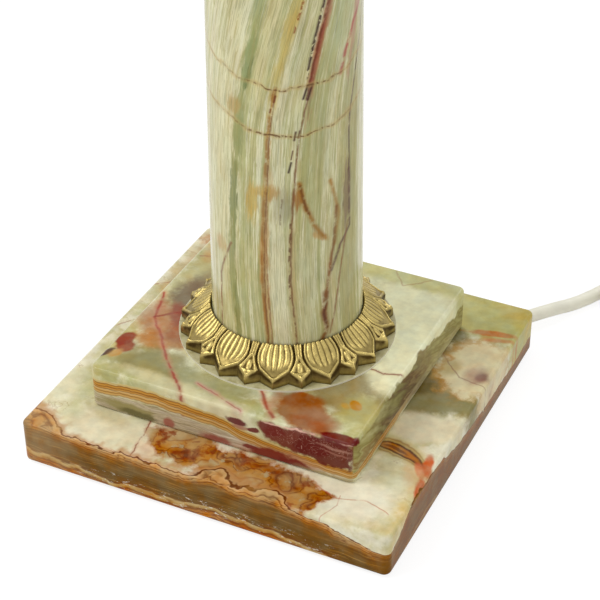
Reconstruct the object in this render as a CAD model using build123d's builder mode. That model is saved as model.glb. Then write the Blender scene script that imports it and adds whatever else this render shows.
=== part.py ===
from build123d import *
import os
from math import atan2, cos, degrees, pi, radians, sin, tan

# Column table lamp: a tapered onyx column between cast brass leaf collars, on two
# square onyx plinths, clamped by one hollow threaded rod, with a brass lampholder on
# top and a mains lead that leaves through a groove under the foot.
# Millimetres, +Z up. The origin is the middle of the footprint, on the table.

# ---- driving sizes ---------------------------------------------------------------

# Foot: felt, lower plinth, upper plinth
FELT_SIDE = 174.0
FELT_THICK = 1.5
FOOT_SIDE = 180.0
FOOT_THICK = 22.0
STEP_SIDE = 130.0
STEP_THICK = 22.0
STEP_MIDDLE = (-1.9, -0.7)  # the upper plate's middle, off its hole
STONE_CORNER_R = 3.5  # upright corners of the plates
STONE_ARRIS_R = 1.8  # polished edges of the plates
STONE_HOLE_R = 6.0  # drilled for the rod
RECESS_R = 22.0  # pocket under the foot, for the nut
RECESS_DEPTH = 14.0

# Column
COLUMN_FOOT_R = 34.5
COLUMN_HEAD_R = 30.4
COLUMN_LENGTH = 330.0
COLUMN_ARRIS_R = 0.8

# Leaf collars and the discs between them and the plates
DISC_THICK = 0.8
DISC_MARGIN = 1.4  # disc beyond the leaf tips
COLLAR_GAP = 0.4  # bore round the column
COLLAR_REACH = 13.7  # bore to leaf tips
COLLAR_RISE = 14.5
COLLAR_EDGE = 3.2  # upright edge under the tips
COLLAR_LIP = 1.3  # flat top round the bore
LEAVES = 12
LEAF_TURN = -71.8  # degrees, direction of one large leaf
LEAF_NOTCH = 3.6  # between the leaves, in from the tips
LEAF_BELLY = 5.6  # widest place, in from the tips
LEAF_BELLY_SHARE = 0.76  # half width, as a share of half a pitch
LEAF_ROOT_SHARE = 0.78
SMALL_LEAF_SHARE = 0.34
SMALL_LEAF_ARCH = 1.4  # where its sides start to close, in from the notches
PANEL_DEPTH = 1.1
PANEL_BORDER = (0.9, 1.1, 2.0)  # round a large leaf's panel: at root, belly and tip
PANEL_FROM = 0.2  # out from the lip
PANEL_BELLY = 0.6  # inside the leaf's widest place
CUP_BORDER = (1.3, 0.6, 1.7)  # round a small leaf's hollow: at root, belly and tip
CUP_SPAN = (4.6, 1.2)  # the hollow's root and belly, in from the notches
RIBS = 5
RIB_R = 0.95
RIB_TIP_SHARE = 0.45  # of its radius
RIB_INSET = 1.9  # outer ribs, in from the leaf's root edge
RIB_STOP = 4.0  # middle rib, in from the tips
RIB_UNDER_LIP = 0.3
RIB_SHORTENING = 0.32  # outer ribs, as a share
RIB_CLOSING = 0.35
VALLEY_R = (0.55, 0.8)  # grooves between the leaves, at the lip and at the notches
VALLEY_OUT = (0.5, 0.7)  # beside the large leaf's edge
VALLEY_OVER = 1.0  # past the lip and past the notches
BEAD_R = 1.5
BEAD_IN = 2.3  # in from the notches
CUTTER_OVER = 2.0  # cutters beyond what they cut

# Clamping rod and its nuts
ROD_R = 5.0
ROD_BORE_R = 3.7
ROD_THREAD_GAP = 0.05
WASHER_R = 15.0
WASHER_THICK = 2.0
WASHER_GAP = 0.4
FOOT_NUT_FLATS = 17.0
FOOT_NUT_THICK = 5.0
ROD_BELOW_NUT = 1.0
HEAD_NUT_FLATS = 14.0
HEAD_NUT_THICK = 3.0
NUT_CHAMFER = 0.6

# Stone cap and turned brass above the column
CAP_SIDE = 96.0
CAP_THICK = 14.0
VASE_R = 24.0
VASE_RISE = 8.0
VASE_WALL = 1.0
VASE_TOP_R = 9.0
VASE_RIM = 1.5  # upright band at the foot
TURNED_BORE_R = 5.3  # turned brass round the rod
NECK_R = 6.6  # waist
NECK_BEAD_R = 9.6
NECK_FOOT_R = 8.6
NECK_SEAT_R = 8.0
NECK_THROAT_R = 7.6  # between waist and bead
NECK_HEIGHT = 19.0
NECK_FOOT = 2.5
NECK_SEAT = 2.0
NECK_BEAD_BELOW = 5.0  # bead and throat, below the top
NECK_THROAT_BELOW = 8.5

# Lampholder, for a 27 mm screw lamp
HOLDER_R = 20.1
HOLDER_WALL = 1.0
BOSS_R = 7.5
BOSS_HEIGHT = 3.4
DOME_R = HOLDER_R - BOSS_R
HOLDER_CAP_SIDE = 10.0  # upright part above the dome
ROD_INTO_HOLDER = 6.0
SHELL_GAP = 0.1  # shell neck inside the cap
SHELL_NECK = 4.0
SHELL_NECK_WALL = 0.6
SKIRT_R = 19.9  # threaded part, under the shade ring
SKIRT_TOP_R = 19.7  # plain part above it, where a shade drops over
SKIRT_WALL = 1.4
SKIRT_HEIGHT = 31.2
SKIRT_LIP_R = 14.6
SKIRT_LIP_THICK = 1.2
FLANGE_R = 24.0
FLANGE_ABOVE = 5.0  # flange over the bottom of the skirt
FLANGE_THICK = 1.5
RING_GAP = 0.1  # shade ring on the skirt
RING_SEAT_GAP = 0.3
RING_HEIGHT = 8.0
RING_R = 27.5
RING_FLANGE_THICK = 2.5
RING_HUB_R = 23.5
RING_GRIPS = 24
RING_GRIP_R = 1.2
RING_GRIP_OUT = 0.3

# Inside the lampholder
BLOCK_R = 17.6
BLOCK_HEIGHT = 14.0
BLOCK_BELOW = 5.0  # block's underside below the dome's rim
BLOCK_POCKET_R = 12.0
BLOCK_POCKET_DEPTH = 2.5
TERMINAL_OUT = 8.0  # terminals, from the middle
TERMINAL_HOLE_R = 1.4
TERMINAL_HOLE_DEPTH = 5.0
SCREW_R = 1.25
SCREW_LENGTH = 7.0
SCREW_HEAD_R = 2.6
SCREW_HEAD_THICK = 1.8
BAR_R = 2.2
BAR_GAP = 0.08
BAR_HOLE_R = 2.7
BAR_ABOVE = 3.0  # switch bar over the dome's rim
BAR_TRAVEL = 5.0
KNOB_R = 3.6
KNOB_LENGTH = 6.0
KNOB_STAND_OFF = 1.0
KNOB_EDGE_R = 1.4
INSERT_R = 18.2
INSERT_FOOT_R = 15.0
INSERT_FOOT = 2.5
INSERT_FLOOR = 3.5
INSERT_HEIGHT = 30.8
SCREW_SHELL_R = 13.3  # inside
SCREW_SHELL_WALL = 0.5
SCREW_SHELL_GAP = 0.1
SCREW_SHELL_HEIGHT = 23.0
SCREW_SHELL_HOLE_R = 8.0
CONTACT_R = 4.5
CONTACT_THICK = 1.0
CONTACT_DOME_R = 2.6
CONTACT_DOME_RISE = 1.5
CONTACT_GAP = 0.2  # round the contact in its pocket
CONTACT_PROUD = 0.3  # dome's top over the socket's floor

# Lead: sheathed inside the foot, two wires up the rod, then free on the table
LEAD_R = 3.35
LEAD_HEADING = 52.6  # degrees from +X, of the groove and of the lead where it leaves
GROOVE_WIDTH = 9.0
GROOVE_HEIGHT = 9.0
GLAND_R = 4.3
GLAND_TIP_R = 3.8
GLAND_SEATED = 8.0
GLAND_STRAIGHT = 3.0  # past the stone, before the taper
GLAND_FREE = 17.0
SHEATH_IN_RECESS = 0.5
WIRE_R = 1.2
WIRE_SPREAD = 1.5  # each wire from the middle of the rod
WIRE_BEND_R = 4.0
WIRE_OVER_ROD = 1.0
WIRE_END_GAP = 0.5  # in the terminal's hole, at both ends of the last run
LEAD_FIRST_RUN = 17.7  # straight out of the gland
# The free route after that run. These points are chosen by hand.
ROUTE = [
    (98.9, 131.4, 3.4),
    (107.6, 147.1, 3.4),
    (118.2, 169.5, 3.4),
]
COIL_R = 49.2
COIL_PITCH = 7.2
COIL_HALF_TURNS = 6  # in each of the two layers
# After the coil's first straight run: headings in degrees, runs and heights to the plug.
TAIL_FIRST_RUN = 13.0
TAIL = [(252.0, 14.0, 8.6), (259.0, 13.0, 6.9), (264.0, 13.0, 6.9)]
BEND_SHARE = 0.45  # of the shorter run beside a bend

# Plug: flat two-pin
PLUG_THICK = 13.7
PLUG_WIDTH = 35.3
PLUG_LENGTH = 36.0
PLUG_NECK_WIDTH = 13.0
PLUG_SLEEVE = 22.0
PLUG_SLEEVE_R = 5.4
PLUG_SHOULDER = 0.55  # share of the body's length that widens
PLUG_CORNER_R = 3.0
PLUG_EDGE_R = 2.5
SLEEVE_INTO_BODY = 1.5
PIN_R = 2.0
PIN_LENGTH = 19.0
PIN_SPACING = 18.6

# ---- heights that follow, from the table up --------------------------------------

Z_FOOT = FELT_THICK
Z_STEP = Z_FOOT + FOOT_THICK
Z_DISC = Z_STEP + STEP_THICK
Z_COLUMN = Z_DISC + DISC_THICK
Z_HEAD_DISC = Z_COLUMN + COLUMN_LENGTH
Z_CAP = Z_HEAD_DISC + DISC_THICK
Z_VASE = Z_CAP + CAP_THICK
Z_NECK = Z_VASE + VASE_RISE
Z_HEAD_NUT = Z_NECK + NECK_HEIGHT
Z_HOLDER = Z_HEAD_NUT + HEAD_NUT_THICK
Z_RIM = Z_HOLDER + BOSS_HEIGHT + DOME_R  # where the holder's dome turns upright
Z_SKIRT = Z_RIM + HOLDER_CAP_SIDE
Z_FLANGE = Z_SKIRT + FLANGE_ABOVE
Z_RING = Z_FLANGE + FLANGE_THICK + RING_SEAT_GAP
Z_BLOCK = Z_RIM - BLOCK_BELOW
Z_BLOCK_TOP = Z_BLOCK + BLOCK_HEIGHT
Z_BAR = Z_RIM + BAR_ABOVE
Z_SOCKET = Z_BLOCK_TOP + INSERT_FOOT + INSERT_FLOOR
Z_CONTACT = Z_SOCKET + CONTACT_PROUD - CONTACT_THICK - CONTACT_DOME_RISE
Z_RECESS = Z_FOOT + RECESS_DEPTH
Z_WASHER = Z_RECESS - WASHER_THICK
Z_FOOT_NUT = Z_WASHER - FOOT_NUT_THICK
Z_ROD = Z_FOOT_NUT - ROD_BELOW_NUT
Z_ROD_TOP = Z_HOLDER + ROD_INTO_HOLDER
Z_LEAD = Z_FOOT + GLAND_R + 0.1

parts = {}


def keep(name, builder):
    """Files a finished piece under the name of its node."""
    builder.part.label = name
    parts[name] = builder.part
    return builder.part


# ---- felt and stone plates -------------------------------------------------------


def stone_plate(side, thick, base_z, middle=(0, 0)):
    """Square polished plate with rounded corners and arrises, drilled for the rod."""
    with BuildPart() as plate:
        with BuildSketch(Plane.XY.offset(base_z)):
            with Locations(middle):
                RectangleRounded(side, side, STONE_CORNER_R)
        extrude(amount=thick)
        fillet(plate.faces().filter_by(Axis.Z).edges(), STONE_ARRIS_R)
        with Locations((0, 0, base_z + thick)):
            Hole(STONE_HOLE_R, thick)
    return plate


with BuildPart() as base_felt:
    with BuildSketch():
        RectangleRounded(FELT_SIDE, FELT_SIDE, STONE_CORNER_R)
    extrude(amount=FELT_THICK)
keep("base_felt", base_felt)

lead_out = Vector(cos(radians(LEAD_HEADING)), sin(radians(LEAD_HEADING)))
face_crossing = FOOT_SIDE / 2 / sin(radians(LEAD_HEADING))

with BuildPart() as lower_plinth:
    add(stone_plate(FOOT_SIDE, FOOT_THICK, Z_FOOT).part)
    with BuildSketch(Plane.XY.offset(Z_FOOT)):
        Circle(RECESS_R)
    extrude(amount=RECESS_DEPTH, mode=Mode.SUBTRACT)
    with BuildSketch(Plane((0, 0, Z_FOOT), x_dir=lead_out, z_dir=(0, 0, 1))):
        Rectangle(FOOT_SIDE, GROOVE_WIDTH, align=(Align.MIN, Align.CENTER))
    extrude(amount=GROOVE_HEIGHT, mode=Mode.SUBTRACT)
keep("lower_plinth", lower_plinth)

keep("upper_plinth", stone_plate(STEP_SIDE, STEP_THICK, Z_STEP, STEP_MIDDLE))
keep("cap_plate", stone_plate(CAP_SIDE, CAP_THICK, Z_CAP))

# ---- column ----------------------------------------------------------------------

with BuildPart() as column:
    with BuildSketch(Plane.XZ):
        with BuildLine():
            Polyline(
                (STONE_HOLE_R, Z_COLUMN),
                (COLUMN_FOOT_R, Z_COLUMN),
                (COLUMN_HEAD_R, Z_HEAD_DISC),
                (STONE_HOLE_R, Z_HEAD_DISC),
                close=True,
            )
        make_face()
    revolve(axis=Axis.Z)
    rims = column.edges().filter_by(GeomType.CIRCLE)
    fillet(rims.filter_by(lambda rim: rim.radius > STONE_HOLE_R + 1), COLUMN_ARRIS_R)
keep("column", column)

# ---- cast brass leaf collars -----------------------------------------------------


def slope_band(bore_r, depth):
    """The room above a cone that lies this deep under a collar's sloping face."""
    inner_r, tip_r = bore_r + COLLAR_LIP, bore_r + COLLAR_REACH
    fall = (COLLAR_RISE - COLLAR_EDGE) / (tip_r - inner_r)
    level, over = COLLAR_RISE - depth, COLLAR_RISE + 2 * CUTTER_OVER
    with BuildPart() as band:
        with BuildSketch(Plane.XZ):
            with BuildLine():
                Polyline(
                    (bore_r - CUTTER_OVER, level),
                    (inner_r, level),
                    (tip_r + CUTTER_OVER, COLLAR_EDGE - depth - fall * CUTTER_OVER),
                    (tip_r + CUTTER_OVER, over),
                    (bore_r - CUTTER_OVER, over),
                    close=True,
                )
            make_face()
        revolve(axis=Axis.Z)
    return band.part


def leaf_outline(root_r, root_half, belly_r, belly_half, tip_r):
    """Flat outline of a leaf that points along +X: straight sides, then a pointed arch."""
    with BuildSketch() as leaf:
        with BuildLine():
            Polyline(
                (belly_r, belly_half),
                (root_r, root_half),
                (root_r, -root_half),
                (belly_r, -belly_half),
            )
            for side in (1, -1):
                TangentArc(
                    (belly_r, side * belly_half),
                    (tip_r, 0),
                    tangent=(belly_r - root_r, side * (belly_half - root_half)),
                )
        make_face()
    return leaf.sketch


def slope_rod(start, end, start_r, end_r):
    """A tapered round bar from one point to another."""
    run = Vector(*end) - Vector(*start)
    with BuildPart() as bar:
        with Locations(Plane(start, z_dir=run)):
            Cone(start_r, end_r, run.length, align=(Align.CENTER, Align.CENTER, Align.MIN))
    return bar.part


def leaf_collar(bore_r):
    """Ring of ribbed lotus leaves with small beaded leaves between, flat underneath."""
    inner_r, tip_r = bore_r + COLLAR_LIP, bore_r + COLLAR_REACH
    fall = (COLLAR_RISE - COLLAR_EDGE) / (tip_r - inner_r)
    half_step = pi / LEAVES
    notch_r = tip_r - LEAF_NOTCH
    belly_r = tip_r - LEAF_BELLY
    belly_half = belly_r * sin(half_step) * LEAF_BELLY_SHARE
    root_half = inner_r * sin(half_step) * LEAF_ROOT_SHARE
    small_half = notch_r * sin(half_step) * SMALL_LEAF_SHARE
    root_border, belly_border, tip_border = PANEL_BORDER
    cup_root_border, cup_belly_border, cup_tip_border = CUP_BORDER
    top = COLLAR_RISE + CUTTER_OVER

    def height(r):
        return COLLAR_RISE - fall * (r - inner_r)

    large = leaf_outline(bore_r - CUTTER_OVER, root_half, belly_r, belly_half, tip_r)
    small = leaf_outline(
        bore_r - CUTTER_OVER, small_half, notch_r - SMALL_LEAF_ARCH, small_half, tip_r
    )
    panel = leaf_outline(
        inner_r + PANEL_FROM,
        root_half - root_border,
        belly_r - PANEL_BELLY,
        belly_half - belly_border,
        tip_r - tip_border,
    )
    cup = leaf_outline(
        notch_r - CUP_SPAN[0],
        small_half - cup_root_border,
        notch_r - CUP_SPAN[1],
        small_half - cup_belly_border,
        tip_r - cup_tip_border,
    )
    sunk_band = slope_band(bore_r, PANEL_DEPTH)

    with BuildPart() as leaf_panel:  # what is sunk inside a large leaf's border
        add(panel)
        extrude(amount=top)
        add(sunk_band, mode=Mode.INTERSECT)
    with BuildPart() as leaf_cup:  # what is sunk round a small leaf's bead
        add(cup)
        extrude(amount=top)
        add(sunk_band, mode=Mode.INTERSECT)
    with BuildPart() as ribs:  # round ribs that close up towards the leaf's tip
        for count in range(RIBS):
            share = 2 * count / (RIBS - 1) - 1
            out = 1 - RIB_SHORTENING * abs(share)
            aside = share * (root_half - RIB_INSET)
            near_r = inner_r - RIB_UNDER_LIP
            far_r = inner_r + (tip_r - RIB_STOP - inner_r) * out
            start = (near_r, aside, height(near_r) - PANEL_DEPTH)
            end = (far_r, aside * (1 - RIB_CLOSING * out), height(far_r) - PANEL_DEPTH)
            add(slope_rod(start, end, RIB_R, RIB_R * RIB_TIP_SHARE))
    with BuildPart() as grooves:  # between a large leaf and its small neighbours
        for side in (1, -1):
            near_r, far_r = inner_r - VALLEY_OVER, notch_r + VALLEY_OVER
            start = (near_r, side * (root_half + VALLEY_OUT[0]), height(near_r))
            end = (far_r, side * (belly_half + VALLEY_OUT[1]), height(far_r))
            add(slope_rod(start, end, *VALLEY_R))
    bead_r = notch_r - BEAD_IN
    with BuildPart() as bead:
        with Locations((bead_r, 0, height(bead_r) - PANEL_DEPTH)):
            Sphere(BEAD_R)

    with BuildPart() as collar:
        with BuildSketch(Plane.XZ):
            with BuildLine():
                Polyline(
                    (bore_r, 0),
                    (bore_r, COLLAR_RISE),
                    (inner_r, COLLAR_RISE),
                    (tip_r, COLLAR_EDGE),
                    (tip_r, 0),
                    close=True,
                )
            make_face()
        revolve(axis=Axis.Z)
        with BuildSketch():
            Circle(notch_r)
            with PolarLocations(0, LEAVES, start_angle=LEAF_TURN):
                add(large)
            with PolarLocations(0, LEAVES, start_angle=LEAF_TURN + degrees(half_step)):
                add(small)
        extrude(amount=top, mode=Mode.INTERSECT)
        with PolarLocations(0, LEAVES, start_angle=LEAF_TURN):
            add(leaf_panel.part, mode=Mode.SUBTRACT)
            add(grooves.part, mode=Mode.SUBTRACT)
            add(ribs.part)
        with PolarLocations(0, LEAVES, start_angle=LEAF_TURN + degrees(half_step)):
            add(leaf_cup.part, mode=Mode.SUBTRACT)
            add(bead.part)
        with BuildSketch():
            Circle(bore_r)
        extrude(amount=top, mode=Mode.SUBTRACT)
    return collar.part


def disc(radius, thick, base_z, hole_r):
    """Plain washer."""
    with BuildPart() as washer:
        with BuildSketch(Plane.XY.offset(base_z)):
            Circle(radius)
            Circle(hole_r, mode=Mode.SUBTRACT)
        extrude(amount=thick)
    return washer


foot_bore_r = COLUMN_FOOT_R + COLLAR_GAP
taper = (COLUMN_FOOT_R - COLUMN_HEAD_R) / COLUMN_LENGTH
head_bore_r = COLUMN_HEAD_R + COLLAR_GAP + COLLAR_RISE * taper

with BuildPart() as foot_collar:
    with Locations((0, 0, Z_COLUMN)):
        add(leaf_collar(foot_bore_r))
keep("foot_collar", foot_collar)

with BuildPart() as head_collar:
    with Locations((0, 0, Z_HEAD_DISC)):
        add(mirror(leaf_collar(head_bore_r), about=Plane.XY, mode=Mode.PRIVATE))
keep("head_collar", head_collar)

disc_beyond = COLLAR_REACH + DISC_MARGIN
keep("foot_disc", disc(foot_bore_r + disc_beyond, DISC_THICK, Z_DISC, STONE_HOLE_R))
keep("head_disc", disc(head_bore_r + disc_beyond, DISC_THICK, Z_HEAD_DISC, STONE_HOLE_R))

# ---- clamping rod, washer and nuts -----------------------------------------------


def hex_nut(flats, thick, base_z):
    """Chamfered hexagon nut on the rod."""
    with BuildPart() as nut:
        with BuildSketch(Plane.XY.offset(base_z)):
            RegularPolygon(flats / 2, 6, major_radius=False)
            Circle(ROD_R + ROD_THREAD_GAP, mode=Mode.SUBTRACT)
        extrude(amount=thick)
        with BuildSketch(Plane.XY.offset(base_z)):
            Circle(flats / 2 / cos(radians(30)) - NUT_CHAMFER / 2)
        extrude(amount=thick, mode=Mode.INTERSECT)
    return nut


keep("threaded_rod", disc(ROD_R, Z_ROD_TOP - Z_ROD, Z_ROD, ROD_BORE_R))
keep("foot_washer", disc(WASHER_R, WASHER_THICK, Z_WASHER, ROD_R + WASHER_GAP))
keep("foot_nut", hex_nut(FOOT_NUT_FLATS, FOOT_NUT_THICK, Z_FOOT_NUT))
keep("head_nut", hex_nut(HEAD_NUT_FLATS, HEAD_NUT_THICK, Z_HEAD_NUT))

# ---- brass vase cap and neck -----------------------------------------------------

with BuildPart() as vase_cap:  # spun from sheet, standing on its rim
    with BuildSketch(Plane.XZ):
        with BuildLine():
            under = Z_NECK - VASE_WALL
            rim_top = Z_VASE + VASE_RIM
            Polyline((VASE_R - VASE_WALL, Z_VASE), (VASE_R, Z_VASE), (VASE_R, rim_top))
            TangentArc((VASE_TOP_R, Z_NECK), (VASE_R, rim_top), tangent=(1, 0))
            Polyline(
                (VASE_TOP_R, Z_NECK),
                (TURNED_BORE_R, Z_NECK),
                (TURNED_BORE_R, under),
                (VASE_TOP_R, under),
            )
            TangentArc((VASE_TOP_R, under), (VASE_R - VASE_WALL, Z_VASE), tangent=(1, 0))
        make_face()
    revolve(axis=Axis.Z)
keep("vase_cap", vase_cap)

with BuildPart() as neck:  # turned: foot, waist, bead and seat
    with BuildSketch(Plane.XZ):
        with BuildLine():
            waist_low, throat = Z_NECK + NECK_FOOT, Z_HEAD_NUT - NECK_THROAT_BELOW
            Polyline(
                (NECK_FOOT_R, waist_low),
                (NECK_FOOT_R, Z_NECK),
                (TURNED_BORE_R, Z_NECK),
                (TURNED_BORE_R, Z_HEAD_NUT),
                (NECK_SEAT_R, Z_HEAD_NUT),
                (NECK_SEAT_R, Z_HEAD_NUT - NECK_SEAT),
            )
            ThreePointArc(
                (NECK_SEAT_R, Z_HEAD_NUT - NECK_SEAT),
                (NECK_BEAD_R, Z_HEAD_NUT - NECK_BEAD_BELOW),
                (NECK_THROAT_R, throat),
            )
            ThreePointArc(
                (NECK_THROAT_R, throat),
                (NECK_R, (waist_low + throat) / 2),
                (NECK_FOOT_R, waist_low),
            )
        make_face()
    revolve(axis=Axis.Z)
keep("neck", neck)

# ---- lampholder ------------------------------------------------------------------

with BuildPart() as holder_cap:
    inside_r = HOLDER_R - HOLDER_WALL
    inner_dome = DOME_R - HOLDER_WALL
    mid = cos(radians(45))
    with BuildSketch(Plane.XZ):
        with BuildLine():
            Polyline(
                (BOSS_R, Z_RIM - inner_dome),
                (ROD_R + ROD_THREAD_GAP, Z_RIM - inner_dome),
                (ROD_R + ROD_THREAD_GAP, Z_HOLDER),
                (BOSS_R, Z_HOLDER),
                (BOSS_R, Z_RIM - DOME_R),
            )
            ThreePointArc(
                (BOSS_R, Z_RIM - DOME_R),
                (BOSS_R + DOME_R * mid, Z_RIM - DOME_R * mid),
                (HOLDER_R, Z_RIM),
            )
            Polyline((HOLDER_R, Z_RIM), (HOLDER_R, Z_SKIRT), (inside_r, Z_SKIRT), (inside_r, Z_RIM))
            ThreePointArc(
                (inside_r, Z_RIM),
                (BOSS_R + inner_dome * mid, Z_RIM - inner_dome * mid),
                (BOSS_R, Z_RIM - inner_dome),
            )
        make_face()
    revolve(axis=Axis.Z)
    with BuildSketch(Plane.YZ):
        with Locations((0, Z_BAR)):
            Circle(BAR_HOLE_R)
    extrude(amount=HOLDER_R + CUTTER_OVER, both=True, mode=Mode.SUBTRACT)
keep("holder_cap", holder_cap)

with BuildPart() as holder_shell:
    neck_r = HOLDER_R - HOLDER_WALL - SHELL_GAP
    skirt_in = SKIRT_R - SKIRT_WALL
    top = Z_SKIRT + SKIRT_HEIGHT
    plain_from = Z_RING + RING_HEIGHT
    with BuildSketch(Plane.XZ):
        with BuildLine():
            Polyline(
                (neck_r - SHELL_NECK_WALL, Z_SKIRT - SHELL_NECK),
                (neck_r, Z_SKIRT - SHELL_NECK),
                (neck_r, Z_SKIRT),
                (SKIRT_R, Z_SKIRT),
                (SKIRT_R, Z_FLANGE),
                (FLANGE_R, Z_FLANGE),
                (FLANGE_R, Z_FLANGE + FLANGE_THICK),
                (SKIRT_R, Z_FLANGE + FLANGE_THICK),
                (SKIRT_R, plain_from),
                (SKIRT_TOP_R, plain_from),
                (SKIRT_TOP_R, top),
                (SKIRT_LIP_R, top),
                (SKIRT_LIP_R, top - SKIRT_LIP_THICK),
                (skirt_in, top - SKIRT_LIP_THICK),
                (skirt_in, Z_SKIRT),
                (neck_r - SHELL_NECK_WALL, Z_SKIRT),
                close=True,
            )
        make_face()
    revolve(axis=Axis.Z)
keep("holder_shell", holder_shell)

with BuildPart() as shade_ring:
    bore = SKIRT_R + RING_GAP
    with BuildSketch(Plane.XZ):
        with BuildLine():
            Polyline(
                (bore, Z_RING),
                (RING_R, Z_RING),
                (RING_R, Z_RING + RING_FLANGE_THICK),
                (RING_HUB_R, Z_RING + RING_FLANGE_THICK),
                (RING_HUB_R, Z_RING + RING_HEIGHT),
                (bore, Z_RING + RING_HEIGHT),
                close=True,
            )
        make_face()
    revolve(axis=Axis.Z)
    with BuildSketch(Plane.XY.offset(Z_RING + RING_FLANGE_THICK)):
        with PolarLocations(RING_HUB_R + RING_GRIP_OUT, RING_GRIPS):
            Circle(RING_GRIP_R)
    extrude(amount=RING_HEIGHT, mode=Mode.SUBTRACT)
keep("shade_ring", shade_ring)

wire_side = Vector(-lead_out.Y, lead_out.X)  # the two wires lie to either side of this
terminals = [wire_side * (side * TERMINAL_OUT) for side in (1, -1)]

with BuildPart() as switch_block:
    with BuildSketch(Plane.XY.offset(Z_BLOCK)):
        Circle(BLOCK_R)
    extrude(amount=BLOCK_HEIGHT)
    with BuildSketch(Plane.XY.offset(Z_BLOCK)):
        Circle(BLOCK_POCKET_R)
    extrude(amount=BLOCK_POCKET_DEPTH, mode=Mode.SUBTRACT)
    with BuildSketch(Plane.XY.offset(Z_BLOCK)):
        with Locations(*[(spot.X, spot.Y) for spot in terminals]):
            Circle(TERMINAL_HOLE_R)
    extrude(amount=TERMINAL_HOLE_DEPTH, mode=Mode.SUBTRACT)
    with BuildSketch(Plane.XY.offset(Z_BLOCK_TOP)):
        with Locations(*[(spot.X, spot.Y) for spot in terminals]):
            Circle(SCREW_R)
    extrude(amount=-SCREW_LENGTH, mode=Mode.SUBTRACT)
    with BuildSketch(Plane.YZ):
        with Locations((0, Z_BAR)):
            Circle(BAR_R + BAR_GAP)
    extrude(amount=BLOCK_R + CUTTER_OVER, both=True, mode=Mode.SUBTRACT)
keep("switch_block", switch_block)

with BuildPart() as terminal_screws:
    with BuildSketch(Plane.XY.offset(Z_BLOCK_TOP)):
        with Locations(*[(spot.X, spot.Y) for spot in terminals]):
            Circle(SCREW_R)
    extrude(amount=-SCREW_LENGTH)
    with BuildSketch(Plane.XY.offset(Z_BLOCK_TOP)):
        with Locations(*[(spot.X, spot.Y) for spot in terminals]):
            Circle(SCREW_HEAD_R)
    extrude(amount=SCREW_HEAD_THICK)
keep("terminal_screws", terminal_screws)

with BuildPart() as switch_bar:  # pushed over to -X at rest
    near = HOLDER_R + KNOB_STAND_OFF
    with BuildSketch(Plane.YZ.offset(-near - BAR_TRAVEL)):
        with Locations((0, Z_BAR)):
            Circle(BAR_R)
    extrude(amount=2 * near + BAR_TRAVEL)
    for face_x, outward in ((near, 1), (-near - BAR_TRAVEL, -1)):
        with BuildSketch(Plane.YZ.offset(face_x)):
            with Locations((0, Z_BAR)):
                Circle(KNOB_R)
        extrude(amount=outward * KNOB_LENGTH)
    ends = switch_bar.faces().sort_by(Axis.X)
    fillet([ends[0].edges()[0], ends[-1].edges()[0]], KNOB_EDGE_R)
keep("switch_bar", switch_bar)

with BuildPart() as holder_insert:
    socket_r = SCREW_SHELL_R + SCREW_SHELL_WALL + SCREW_SHELL_GAP
    with BuildSketch(Plane.XY.offset(Z_BLOCK_TOP)):
        Circle(INSERT_R)
    extrude(amount=INSERT_HEIGHT)
    with BuildSketch(Plane.XY.offset(Z_BLOCK_TOP)):
        Circle(INSERT_FOOT_R)
    extrude(amount=INSERT_FOOT, mode=Mode.SUBTRACT)
    with BuildSketch(Plane.XY.offset(Z_SOCKET)):
        Circle(socket_r)
    extrude(amount=INSERT_HEIGHT, mode=Mode.SUBTRACT)
    with BuildSketch(Plane.XY.offset(Z_CONTACT)):
        Circle(CONTACT_R + CONTACT_GAP)
    extrude(amount=INSERT_FLOOR, mode=Mode.SUBTRACT)
keep("holder_insert", holder_insert)

with BuildPart() as screw_shell:
    with BuildSketch(Plane.XY.offset(Z_SOCKET)):
        Circle(SCREW_SHELL_R + SCREW_SHELL_WALL)
        Circle(SCREW_SHELL_HOLE_R, mode=Mode.SUBTRACT)
    extrude(amount=SCREW_SHELL_HEIGHT)
    with BuildSketch(Plane.XY.offset(Z_SOCKET + SCREW_SHELL_WALL)):
        Circle(SCREW_SHELL_R)
    extrude(amount=SCREW_SHELL_HEIGHT, mode=Mode.SUBTRACT)
keep("screw_shell", screw_shell)

with BuildPart() as centre_contact:
    with BuildSketch(Plane.XZ):
        with BuildLine():
            dome_from = Z_CONTACT + CONTACT_THICK
            dome_top = dome_from + CONTACT_DOME_RISE
            Polyline(
                (0, Z_CONTACT),
                (CONTACT_R, Z_CONTACT),
                (CONTACT_R, dome_from),
                (CONTACT_DOME_R, dome_from),
            )
            TangentArc((0, dome_top), (CONTACT_DOME_R, dome_from), tangent=(1, 0))
            Line((0, dome_top), (0, Z_CONTACT))
        make_face()
    revolve(axis=Axis.Z)
keep("centre_contact", centre_contact)

# ---- lead inside the lamp --------------------------------------------------------


def on_heading(distance, z):
    """A point of the groove's middle line."""
    return (lead_out.X * distance, lead_out.Y * distance, z)


gland_in = face_crossing - GLAND_SEATED
gland_tip = face_crossing + GLAND_FREE
sheath_end = RECESS_R - SHEATH_IN_RECESS

with BuildPart() as inner_lead:
    with BuildSketch(Plane(on_heading(sheath_end, Z_LEAD), x_dir=wire_side, z_dir=lead_out)):
        Circle(LEAD_R)
    extrude(amount=gland_in - sheath_end)
keep("inner_lead", inner_lead)

with BuildPart() as cord_gland:  # moulded sleeve: straight in the groove, tapered outside
    with BuildSketch(Plane(on_heading(gland_in, Z_LEAD), x_dir=wire_side, z_dir=lead_out)):
        Circle(GLAND_R)
    extrude(amount=GLAND_SEATED + GLAND_STRAIGHT)
    taper_start = on_heading(face_crossing + GLAND_STRAIGHT, Z_LEAD)
    add(slope_rod(taper_start, on_heading(gland_tip, Z_LEAD), GLAND_R, GLAND_TIP_R))
keep("cord_gland", cord_gland)


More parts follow.
